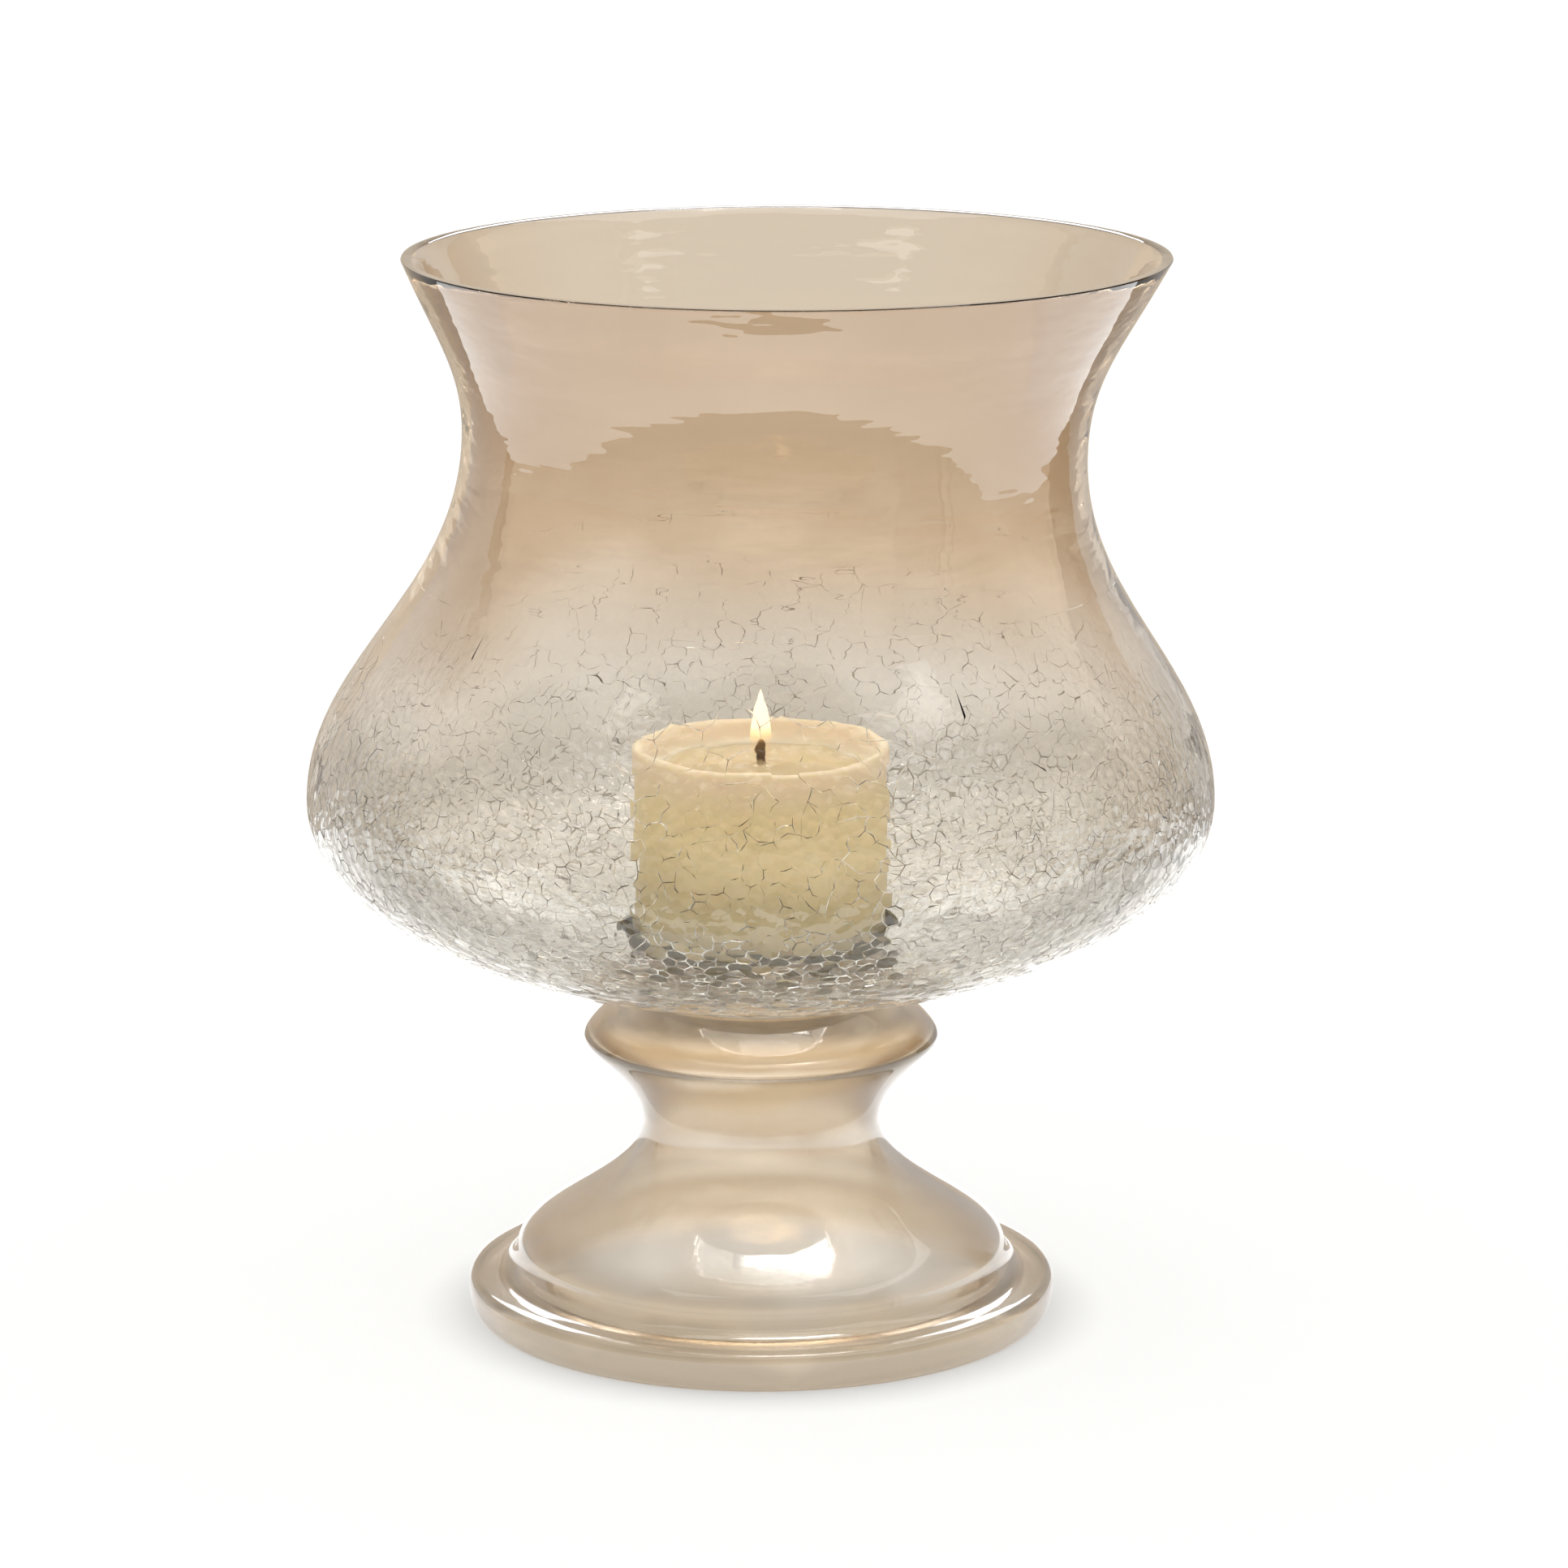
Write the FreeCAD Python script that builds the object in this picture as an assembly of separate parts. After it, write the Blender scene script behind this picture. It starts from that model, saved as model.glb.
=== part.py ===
"""Hurricane candle lantern: a blown glass shade on a blown glass pedestal, with a pillar candle on a plate.

Millimetres, +Z up. The origin is on the pedestal's axis, on the surface that the lantern stands on.
"""
import FreeCAD, Part

import math
import os

from FreeCAD import Vector

# Pedestal: outer sizes, heights above the standing surface
PEDESTAL_HEIGHT = 93.1
FOOT_DIAMETER = 166.2
FOOT_EDGE_HEIGHT = 9.0
FOOT_TUCK = 3.9
CONTACT_WIDTH = 4.5
FLANGE_WIDTH = 15.1
FLANGE_HEIGHT = 11.9
DOME_OVERHANG = 1.3
DOME_HEIGHT = 17.6
WAIST_DIAMETER = 67.8
WAIST_HEIGHT = 56.0
COLLAR_DIAMETER = 100.2
COLLAR_BELOW_TOP = 13.3
PEDESTAL_WALL = 3.0
PEDESTAL_TOP_THICKNESS = 4.0
FOOT_INNER_ROUNDING = 2.5

# Joint between the two glass pieces
SEAT_DIAMETER = 72.0
BOND_THICKNESS = 0.4
BOND_WIDTH = 14.0
BOND_EDGE_SETBACK = 1.0

# Shade: outer sizes, heights above its ground seat
SHADE_HEIGHT = 207.3
BOSS_HEIGHT = 3.0
BOSS_FLARE = 2.0
UNDERSIDE_SLOPE = 7.0
BELLY_DIAMETER = 253.6
BELLY_HEIGHT = 55.6
NECK_DIAMETER = 173.1
NECK_HEIGHT = 155.4
MOUTH_DIAMETER = 212.1
MOUTH_FLARE = 25.7
MOUTH_LEAN = 7.3
SHADE_WALL = 2.8
FLOOR_THICKNESS = 7.5
FLOOR_MARGIN = 7.0

# Candle
CANDLE_DIAMETER = 71.6
CANDLE_HEIGHT = 58.5
CANDLE_BASE_ROUNDING = 1.6
CANDLE_RIM_WALL = 3.0
DISH_WIDTH = 5.3
DISH_DEPTH = 6.1
POOL_DEPTH = 2.0
WICK_DIAMETER = 3.1
WICK_ABOVE_POOL = 6.9
TAB_DIAMETER = 20.0
TAB_THICKNESS = 0.5
TAB_STEM_HEIGHT = 5.0
TAB_STEM_WALL = 0.4

# Candle plate
PLATE_THICKNESS = 1.0
PLATE_EDGE_HEIGHT = 5.5
PLATE_EDGE_FLARE = 0.8
PLATE_FOOT_HEIGHT = 3.0
PLATE_FOOT_TOP_DIAMETER = 11.0
PLATE_FOOT_TIP_DIAMETER = 6.0
PLATE_FOOT_CIRCLE = 44.0
PLATE_FEET = 3

# Room around the candle inside the plate's edge, and around pieces cast or crimped into one another
CANDLE_CLEARANCE = 2.0
CAST_CLEARANCE = 0.05

# How full each blown curve is: its two control handles as shares of the run or rise that it spans
FOOT_FULLNESS = (0.95, 0.36)
FLANGE_FULLNESS = (0.80, 0.42)
DOME_FOOT_FULLNESS = (0.30, 0.70)
DOME_FULLNESS = (0.290, 0.470)
INNER_DOME_FULLNESS = (0.216, 0.511)
COLLAR_FULLNESS = (0.45, 0.14)
INNER_COLLAR_FULLNESS = (0.48, 0.05)
COLLAR_TOP_FULLNESS = (0.20, 0.36)
UNDERSIDE_FULLNESS = (0.527, 0.489)
FLOOR_FULLNESS = (0.481, 0.523)
SHOULDER_FULLNESS = (0.369, 0.442)
INNER_SHOULDER_FULLNESS = (0.356, 0.452)
MOUTH_FULLNESS = (0.390, 0.491)

# Heights that follow from the stack of pieces
SEAT_Z = PEDESTAL_HEIGHT + BOND_THICKNESS
UNDERSIDE_Z = SEAT_Z + BOSS_HEIGHT
BELLY_Z = SEAT_Z + BELLY_HEIGHT
NECK_Z = SEAT_Z + NECK_HEIGHT
MOUTH_Z = SEAT_Z + SHADE_HEIGHT
FLOOR_Z = SEAT_Z + FLOOR_THICKNESS
PLATE_Z = FLOOR_Z + PLATE_FOOT_HEIGHT
CANDLE_Z = PLATE_Z + PLATE_THICKNESS
CANDLE_TOP_Z = CANDLE_Z + CANDLE_HEIGHT
POOL_TOP_Z = CANDLE_TOP_Z - DISH_DEPTH
POOL_FLOOR_Z = POOL_TOP_Z - POOL_DEPTH
WICK_TOP_Z = POOL_TOP_Z + WICK_ABOVE_POOL

# Radii that follow from what fits together
CANDLE_RADIUS = CANDLE_DIAMETER / 2
DISH_RADIUS = CANDLE_RADIUS - CANDLE_RIM_WALL
POOL_RADIUS = DISH_RADIUS - DISH_WIDTH
WICK_BORE_RADIUS = WICK_DIAMETER / 2 + CAST_CLEARANCE
TAB_STEM_RADIUS = WICK_BORE_RADIUS + TAB_STEM_WALL
PLATE_RADIUS = CANDLE_RADIUS + CANDLE_CLEARANCE + PLATE_THICKNESS
FLOOR_FLAT_RADIUS = (PLATE_FOOT_CIRCLE + PLATE_FOOT_TIP_DIAMETER) / 2 + FLOOR_MARGIN

# The upper shade leans to +X from here up, as it sagged when it was blown
LEAN_START_Z = BELLY_Z + SHOULDER_FULLNESS[0] * (NECK_Z - BELLY_Z)

AXIS_POINT = Vector(0, 0, 0)
UP = Vector(0, 0, 1)
FLATNESS = 1e-4


def curve(points):
    """A line through two (radius, height) points, or the Bezier curve of more, in the XZ plane."""
    vectors = [Vector(radius, 0, height) for radius, height in points]
    if len(vectors) == 2:
        return Part.LineSegment(*vectors).toShape()
    bezier = Part.BezierCurve()
    bezier.setPoles(vectors)
    return bezier.toShape()


def turned(outline):
    """The solid that a closed outline, a list of curves' points, makes when it is turned about the axis."""
    wire = Part.Wire([curve(points) for points in outline])
    return Part.Face(wire).revolve(AXIS_POINT, UP, 360)


def closed_lines(corners):
    """The outline that joins corners by straight lines, back to the first."""
    return [[corners[i - 1], corners[i]] for i in range(len(corners))]


def part_way(start, end, radius_share, height_share):
    """The (radius, height) point at these shares of the way from start to end."""
    return (
        start[0] + radius_share * (end[0] - start[0]),
        start[1] + height_share * (end[1] - start[1]),
    )


def upright_span(lower, upper, fullness):
    """Control points of a curve that is vertical at both its ends."""
    return [lower, part_way(lower, upper, 0, fullness[0]), part_way(lower, upper, 1, 1 - fullness[1]), upper]


def lean(height):
    """How far the shade's middle has moved to +X at a height."""
    return MOUTH_LEAN * max(0.0, height - LEAN_START_Z) / (MOUTH_Z - LEAN_START_Z)


def leaning_face(points):
    """The face that four (radius, height) control points make, turned about the shade's leaning middle."""
    corner_weight = math.sqrt(0.5)
    around = [(1, 0), (1, 1), (0, 1), (-1, 1), (-1, 0), (-1, -1), (0, -1), (1, -1), (1, 0)]
    poles = [[Vector(lean(z) + r * x, r * y, z) for r, z in points] for x, y in around]
    weights = [[corner_weight if x and y else 1.0] * len(points) for x, y in around]
    surface = Part.BSplineSurface()
    surface.buildFromPolesMultsKnots(
        poles, [3, 2, 2, 2, 3], [4, 4], [0, 1, 2, 3, 4], [0, 1], False, False, 2, 3, weights
    )
    return surface.toShape()


def flat_lid(face, height):
    """The flat face inside the edge that goes round a face at a height."""
    level_edges = [edge for edge in face.Edges if edge.BoundBox.ZLength < FLATNESS]
    ring = [edge for edge in level_edges if abs(edge.BoundBox.ZMin - height) < FLATNESS]
    return Part.Face(Part.Wire(ring))


def glass_pedestal():
    """The hollow pedestal, open below: foot, dome, waist and collar, with a ground flat top."""
    foot = (FOOT_DIAMETER / 2, FOOT_EDGE_HEIGHT)
    contact = (foot[0] - FOOT_TUCK, 0)
    crease = (foot[0] - FLANGE_WIDTH, FLANGE_HEIGHT)
    dome = (crease[0] + DOME_OVERHANG, DOME_HEIGHT)
    waist = (WAIST_DIAMETER / 2, WAIST_HEIGHT)
    collar = (COLLAR_DIAMETER / 2, PEDESTAL_HEIGHT - COLLAR_BELOW_TOP)
    seat = (SEAT_DIAMETER / 2, PEDESTAL_HEIGHT)
    outside = [
        [
            contact,
            part_way(contact, foot, FOOT_FULLNESS[0], 0),
            part_way(contact, foot, 1, 1 - FOOT_FULLNESS[1]),
            foot,
        ],
        [
            foot,
            part_way(foot, crease, 0, FLANGE_FULLNESS[0]),
            part_way(foot, crease, 1 - FLANGE_FULLNESS[1], 1),
            crease,
        ],
        [
            crease,
            part_way(crease, dome, DOME_FOOT_FULLNESS[0], DOME_FOOT_FULLNESS[0]),
            part_way(crease, dome, 1, 1 - DOME_FOOT_FULLNESS[1]),
            dome,
        ],
        upright_span(dome, waist, DOME_FULLNESS),
        upright_span(waist, collar, COLLAR_FULLNESS),
        [
            collar,
            part_way(collar, seat, 0, COLLAR_TOP_FULLNESS[0]),
            part_way(collar, seat, 1 - COLLAR_TOP_FULLNESS[1], 1 - COLLAR_TOP_FULLNESS[0]),
            seat,
        ],
    ]
    web_z = crease[1] - PEDESTAL_WALL
    inner_top = (seat[0] - PEDESTAL_WALL, seat[1] - PEDESTAL_TOP_THICKNESS)
    inner_collar = (collar[0] - PEDESTAL_WALL, collar[1])
    inner_waist = (waist[0] - PEDESTAL_WALL, waist[1])
    inner_dome = (dome[0] - PEDESTAL_WALL, dome[1])
    inner_crease = (crease[0] - PEDESTAL_WALL, web_z)
    inner_foot = (contact[0] - CONTACT_WIDTH, 0)
    above_crease = (inner_crease[0], web_z + FOOT_INNER_ROUNDING)
    beside_crease = (inner_crease[0] + FOOT_INNER_ROUNDING, web_z)
    beside_foot = (inner_foot[0] - FOOT_INNER_ROUNDING, web_z)
    above_foot = (inner_foot[0], web_z - FOOT_INNER_ROUNDING)
    inside = [
        [(0, inner_top[1]), inner_top],
        [
            inner_top,
            part_way(inner_top, inner_collar, COLLAR_TOP_FULLNESS[1], 0),
            part_way(inner_top, inner_collar, 1, 1 - COLLAR_TOP_FULLNESS[0]),
            inner_collar,
        ],
        upright_span(inner_waist, inner_collar, INNER_COLLAR_FULLNESS)[::-1],
        upright_span(inner_dome, inner_waist, INNER_DOME_FULLNESS)[::-1],
        [inner_dome, above_crease],
        [above_crease, inner_crease, beside_crease],
        [beside_crease, beside_foot],
        [beside_foot, (inner_foot[0], web_z), above_foot],
        [above_foot, inner_foot],
        [inner_foot, contact],
    ]
    top = [[seat, (0, seat[1])], [(0, seat[1]), (0, inner_top[1])]]
    return turned(outside + top + inside)


def bond_ring():
    """The cured adhesive between the pedestal's ground top and the shade's ground seat."""
    outer = SEAT_DIAMETER / 2 - BOND_EDGE_SETBACK
    inner = outer - BOND_WIDTH
    return turned(closed_lines([
        (inner, PEDESTAL_HEIGHT),
        (outer, PEDESTAL_HEIGHT),
        (outer, SEAT_Z),
        (inner, SEAT_Z),
    ]))


def lower_shade():
    """The bowl from its ground seat to its widest ring, with the floor that carries the candle plate."""
    seat = (SEAT_DIAMETER / 2, SEAT_Z)
    underside = (seat[0] + BOSS_FLARE, UNDERSIDE_Z)
    belly = (BELLY_DIAMETER / 2, BELLY_Z)
    inner_belly = (belly[0] - SHADE_WALL, BELLY_Z)
    floor = (FLOOR_FLAT_RADIUS, FLOOR_Z)
    reach = UNDERSIDE_FULLNESS[0] * (belly[0] - underside[0])
    slope = math.radians(UNDERSIDE_SLOPE)
    return turned([
        [(0, FLOOR_Z), (0, SEAT_Z)],
        [(0, SEAT_Z), seat],
        [seat, (seat[0], UNDERSIDE_Z), underside],
        [
            underside,
            (underside[0] + reach * math.cos(slope), underside[1] + reach * math.sin(slope)),
            part_way(underside, belly, 1, 1 - UNDERSIDE_FULLNESS[1]),
            belly,
        ],
        [belly, inner_belly],
        [
            inner_belly,
            part_way(floor, inner_belly, 1, 1 - FLOOR_FULLNESS[1]),
            part_way(floor, inner_belly, FLOOR_FULLNESS[0], 0),
            floor,
        ],
        [floor, (0, FLOOR_Z)],
    ])


def mouth_span(neck, mouth):
    """Control points of the flare from the neck's vertical wall to the mouth's edge."""
    flare = math.radians(MOUTH_FLARE)
    reach = MOUTH_FULLNESS[1] * (mouth[1] - neck[1])
    return [
        neck,
        part_way(neck, mouth, 0, MOUTH_FULLNESS[0]),
        (mouth[0] - reach * math.sin(flare), mouth[1] - reach * math.cos(flare)),
        mouth,
    ]


def leaning_form(belly, neck, mouth, fullness):
    """The closed solid of the upper shade inside one skin, from its widest ring to the mouth."""
    shoulder = leaning_face(upright_span(belly, neck, fullness))
    flare = leaning_face(mouth_span(neck, mouth))
    shell = Part.makeShell([shoulder, flare, flat_lid(flare, mouth[1]), flat_lid(shoulder, belly[1])])
    shell.sewShape()
    return Part.makeSolid(shell)


def upper_shade():
    """The leaning shell from the widest ring to the flat ground rim of the mouth."""
    belly = (BELLY_DIAMETER / 2, BELLY_Z)
    neck = (NECK_DIAMETER / 2, NECK_Z)
    mouth = (MOUTH_DIAMETER / 2, MOUTH_Z)
    inner_belly = (belly[0] - SHADE_WALL, BELLY_Z)
    inner_neck = (neck[0] - SHADE_WALL, NECK_Z)
    inner_mouth = (mouth[0] - SHADE_WALL / math.cos(math.radians(MOUTH_FLARE)), MOUTH_Z)
    outside = leaning_form(belly, neck, mouth, SHOULDER_FULLNESS)
    inside = leaning_form(inner_belly, inner_neck, inner_mouth, INNER_SHOULDER_FULLNESS)
    return outside.cut(inside)


def glass_shade():
    """The blown shade, one piece of glass from its seat to its mouth."""
    return lower_shade().fuse(upper_shade())


def candle_plate():
    """The pressed plate under the candle: a low turned-up edge, and hollow feet pressed from its floor."""
    edge = PLATE_RADIUS + PLATE_EDGE_FLARE
    edge_z = PLATE_Z + PLATE_EDGE_HEIGHT
    inner = PLATE_RADIUS - PLATE_THICKNESS
    bend = 2 * PLATE_THICKNESS
    flat = PLATE_RADIUS - bend
    bend_z = PLATE_Z + bend
    plate = turned([
        [(0, CANDLE_Z), (0, PLATE_Z)],
        [(0, PLATE_Z), (flat, PLATE_Z)],
        [(flat, PLATE_Z), (PLATE_RADIUS, PLATE_Z), (PLATE_RADIUS, bend_z)],
        [(PLATE_RADIUS, bend_z), (edge, edge_z)],
        [(edge, edge_z), (edge - PLATE_THICKNESS, edge_z)],
        [(edge - PLATE_THICKNESS, edge_z), (inner, bend_z)],
        [(inner, bend_z), (inner, CANDLE_Z), (flat, CANDLE_Z)],
        [(flat, CANDLE_Z), (0, CANDLE_Z)],
    ])
    tip = PLATE_FOOT_TIP_DIAMETER / 2
    top = PLATE_FOOT_TOP_DIAMETER / 2
    for index in range(PLATE_FEET):
        angle = 2 * math.pi * index / PLATE_FEET
        foot_at = Vector(math.cos(angle), math.sin(angle), 0) * (PLATE_FOOT_CIRCLE / 2) + UP * FLOOR_Z
        dent_at = foot_at + UP * PLATE_THICKNESS
        foot = Part.makeCone(tip, top, PLATE_FOOT_HEIGHT, foot_at)
        dent = Part.makeCone(tip - PLATE_THICKNESS, top - PLATE_THICKNESS, PLATE_FOOT_HEIGHT, dent_at)
        plate = plate.fuse(foot).cut(dent)
    return plate.removeSplitter()


def wax_pillar():
    """The burnt-down candle: a standing rim around a dish, a bore for the wick and a pocket for its tab."""
    crown = CANDLE_RIM_WALL / 2
    crown_z = CANDLE_TOP_Z - crown
    base = CANDLE_RADIUS - CANDLE_BASE_ROUNDING
    base_z = CANDLE_Z + CANDLE_BASE_ROUNDING
    tab = TAB_DIAMETER / 2 + CAST_CLEARANCE
    tab_z = CANDLE_Z + TAB_THICKNESS + CAST_CLEARANCE
    stem = TAB_STEM_RADIUS + CAST_CLEARANCE
    stem_z = CANDLE_Z + TAB_STEM_HEIGHT + CAST_CLEARANCE
    return turned([
        [(tab, CANDLE_Z), (base, CANDLE_Z)],
        [(base, CANDLE_Z), (CANDLE_RADIUS, CANDLE_Z), (CANDLE_RADIUS, base_z)],
        [(CANDLE_RADIUS, base_z), (CANDLE_RADIUS, crown_z)],
        [(CANDLE_RADIUS, crown_z), (CANDLE_RADIUS, CANDLE_TOP_Z), (CANDLE_RADIUS - crown, CANDLE_TOP_Z)],
        [(CANDLE_RADIUS - crown, CANDLE_TOP_Z), (DISH_RADIUS, CANDLE_TOP_Z), (DISH_RADIUS, crown_z)],
        [(DISH_RADIUS, crown_z), (DISH_RADIUS, POOL_TOP_Z), (POOL_RADIUS, POOL_TOP_Z)],
        [(POOL_RADIUS, POOL_TOP_Z), (POOL_RADIUS, POOL_FLOOR_Z)],
        [(POOL_RADIUS, POOL_FLOOR_Z), (WICK_BORE_RADIUS, POOL_FLOOR_Z)],
        [(WICK_BORE_RADIUS, POOL_FLOOR_Z), (WICK_BORE_RADIUS, stem_z)],
        [(WICK_BORE_RADIUS, stem_z), (stem, stem_z)],
        [(stem, stem_z), (stem, tab_z)],
        [(stem, tab_z), (tab, tab_z)],
        [(tab, tab_z), (tab, CANDLE_Z)],
    ])


def melt_pool():
    """The liquid wax that fills the bottom of the dish around the wick."""
    outer = POOL_RADIUS - CAST_CLEARANCE
    return turned(closed_lines([
        (WICK_BORE_RADIUS, POOL_FLOOR_Z),
        (outer, POOL_FLOOR_Z),
        (outer, POOL_TOP_Z),
        (WICK_BORE_RADIUS, POOL_TOP_Z),
    ]))


def wick():
    """The cotton wick, from its tab up through the wax, with a rounded burnt tip."""
    radius = WICK_DIAMETER / 2
    foot_z = CANDLE_Z + TAB_THICKNESS
    return turned([
        [(0, foot_z), (radius, foot_z)],
        [(radius, foot_z), (radius, WICK_TOP_Z - radius)],
        [(radius, WICK_TOP_Z - radius), (radius, WICK_TOP_Z), (0, WICK_TOP_Z)],
        [(0, WICK_TOP_Z), (0, foot_z)],
    ])


def wick_tab():
    """The tin disc in the candle's base, with the stem that grips the wick."""
    disc_z = CANDLE_Z + TAB_THICKNESS
    stem_z = CANDLE_Z + TAB_STEM_HEIGHT
    return turned(closed_lines([
        (0, CANDLE_Z),
        (TAB_DIAMETER / 2, CANDLE_Z),
        (TAB_DIAMETER / 2, disc_z),
        (TAB_STEM_RADIUS, disc_z),
        (TAB_STEM_RADIUS, stem_z),
        (WICK_BORE_RADIUS, stem_z),
        (WICK_BORE_RADIUS, disc_z),
        (0, disc_z),
    ]))


PIECES = [
    glass_pedestal,
    bond_ring,
    glass_shade,
    candle_plate,
    wax_pillar,
    melt_pool,
    wick,
    wick_tab,
]

os.makedirs("parts", exist_ok=True)
for piece in PIECES:
    shape = piece()
    shape.exportStep(f"parts/{piece.__name__}.step")
    state = "valid" if shape.isValid() else "not valid"
    print(piece.__name__, state, len(shape.Solids), round(shape.Volume, 1))
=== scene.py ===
"""The looks of a footed hurricane candle lantern: amber glass, crackled below, with a burning candle."""
import math
import random
from bisect import bisect_right

import bpy
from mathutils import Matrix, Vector, noise
from mathutils.geometry import delaunay_2d_cdt


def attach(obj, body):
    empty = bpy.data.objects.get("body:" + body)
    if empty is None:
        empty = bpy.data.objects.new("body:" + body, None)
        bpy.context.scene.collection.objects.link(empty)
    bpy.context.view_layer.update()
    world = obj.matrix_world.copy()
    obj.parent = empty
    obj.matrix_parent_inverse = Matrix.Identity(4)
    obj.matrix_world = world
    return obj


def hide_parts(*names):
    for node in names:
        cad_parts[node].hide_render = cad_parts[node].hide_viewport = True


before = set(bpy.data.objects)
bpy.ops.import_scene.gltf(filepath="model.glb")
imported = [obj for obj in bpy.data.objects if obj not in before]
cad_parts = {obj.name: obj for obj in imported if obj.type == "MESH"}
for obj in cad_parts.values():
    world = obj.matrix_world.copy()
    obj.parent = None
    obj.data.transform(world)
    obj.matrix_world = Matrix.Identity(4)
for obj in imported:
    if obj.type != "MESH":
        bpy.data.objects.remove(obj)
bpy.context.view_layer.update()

# Lengths below are millimetres, as on the maker's drawing, and become metres where a mesh is made.
MM = 0.001
# A ring this small closes to a point when it is welded.
AXIS = 0.02

# Glass shade, outside: seat, boss, crackled bowl, shoulder, neck and flared mouth, as (radius, height).
SEAT_Z = 93.5
MOUTH_Z = 300.8
BOSS = [(36.0, 93.5), (36.0, 96.5), (38.0, 96.5)]
BOWL = [(38.0, 96.5), (84.45, 102.20), (126.8, 123.38), (126.8, 149.1)]
SHOULDER = [(126.8, 149.1), (126.8, 185.93), (86.55, 204.79), (86.55, 248.9)]
MOUTH = [(86.55, 248.9), (86.55, 269.14), (95.0, 277.84), (106.05, 300.8)]
# Glass shade, inside, from the mouth down to its floor.
INNER_MOUTH = [(102.94, 300.8), (91.89, 277.84), (83.75, 269.14), (83.75, 248.9)]
INNER_SHOULDER = [(83.75, 248.9), (83.75, 203.79), (124.0, 184.63), (124.0, 149.1)]
INNER_BOWL = [(124.0, 149.1), (124.0, 123.94), (76.25, 101.0), (32.0, 101.0)]
# The mouth leans to the right of the axis.
MOUTH_LEAN = 7.3
LEAN_START_Z = 185.93
RIM_EDGE = 0.35

# Glass pedestal, outside, from its contact ring up to the ground top, and inside, back down.
PEDESTAL_OUTSIDE = [
    [(79.2, 0.0), (82.9, 0.0), (83.1, 5.76), (83.1, 9.0)],
    [(83.1, 9.0), (83.1, 11.0), (80.4, 11.5), (78.0, 11.6)],
    [(78.0, 11.6), (73.2, 11.8), (70.0, 14.4), (69.3, 18.6)],
    [(69.3, 18.6), (69.0, 28.74), (33.9, 37.95), (33.9, 56.0)],
    [(33.9, 56.0), (33.9, 66.71), (50.1, 76.47), (50.1, 79.8)],
    [(50.1, 79.8), (50.1, 82.46), (41.08, 90.44), (36.0, 93.1)],
    [(36.0, 93.1), (AXIS, 93.1)],
]
PEDESTAL_INSIDE = [
    [(AXIS, 89.1), (26.0, 89.1), (47.1, 85.6), (47.1, 79.8)],
    [(47.1, 79.8), (47.1, 78.61), (30.9, 67.42), (30.9, 56.0)],
    [(30.9, 56.0), (30.9, 36.38), (66.3, 25.89), (66.3, 17.6)],
    [(66.3, 17.6), (65.0, 11.4)],
    [(65.0, 11.4), (65.0, 8.9), (67.5, 8.9)],
    [(67.5, 8.9), (72.2, 8.9)],
    [(72.2, 8.9), (74.7, 8.9), (74.7, 6.4)],
    [(74.7, 6.4), (74.7, 0.0)],
    [(74.7, 0.0), (79.2, 0.0)],
]

# Crackle: where it ends, and how far apart the cells lie at each height.
CRACKLE_TOP_Z = 212.0
CELL_SPACING = [(96.0, 3.6), (108.0, 3.5), (115.0, 3.0), (138.0, 3.0), (152.0, 4.0), (170.0, 6.0),
                (185.0, 9.0), (212.0, 12.0)]
# How strong the cracks are at each height, and how wide and deep their grooves.
CRACK_FADE = [(96.5, 0.1), (99.0, 0.3), (102.0, 0.9), (160.0, 1.0), (178.0, 0.75), (192.0, 0.4), (206.0, 0.0)]
CRACK_WIDTH = [(96.0, 0.20), (112.0, 0.26), (136.0, 0.26), (152.0, 0.15)]
CRACK_DEPTH = [(96.0, 0.8), (128.0, 0.8), (142.0, 0.35)]
# How many times as wide as high the cells are: the bowl was drawn out sideways low down.
CELL_STRETCH = [(96.0, 1.0), (108.0, 2.0), (132.0, 2.2), (150.0, 1.3), (165.0, 1.0)]
# The spread of the cells' tilts, in radians.
CELL_TILT = [(96.0, 0.030), (104.0, 0.070), (112.0, 0.070), (125.0, 0.050), (150.0, 0.035), (170.0, 0.020),
             (185.0, 0.006), (212.0, 0.003)]
# How many cells lie along the lower and upper edge, how many places are tried for those between,
# and the chance that one of those is split once more.
LOW_CELLS = 48
TOP_CELLS = 64
CELL_TRIES = 80000
SPLIT_CHANCE = 0.45
# Cracks longer than this get a bend, up to this share of their length to either side.
BEND_FROM = 3.2
BEND = 0.22
# A corner's crack is drawn from this range, and below nought there is none.
CRACK_DRAW = (-0.6, 1.0)
# A groove's bank runs this many crack widths towards the middle of its cell, but no further than this share.
BANK_WIDTHS = 1.25
BANK_SHARE = 0.35

# Candle: the burnt-down pillar with its standing rim, dish, wick bore and tab pocket.
CANDLE = [
    [(10.05, 105.0), (34.2, 105.0)],
    [(34.2, 105.0), (35.8, 105.0), (35.8, 106.6)],
    [(35.8, 106.6), (35.8, 162.0)],
    [(35.8, 162.0), (35.8, 163.5), (34.3, 163.5)],
    [(34.3, 163.5), (33.2, 163.5), (32.2, 162.0)],
    [(32.2, 162.0), (29.6, 157.6), (27.5, 157.4)],
    [(27.5, 157.4), (27.5, 155.4)],
    [(27.5, 155.4), (1.6, 155.4)],
    [(1.6, 155.4), (1.6, 110.05)],
    [(1.6, 110.05), (2.05, 110.05)],
    [(2.05, 110.05), (2.05, 105.55)],
    [(2.05, 105.55), (10.05, 105.55)],
    [(10.05, 105.55), (10.05, 105.0)],
]
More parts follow.
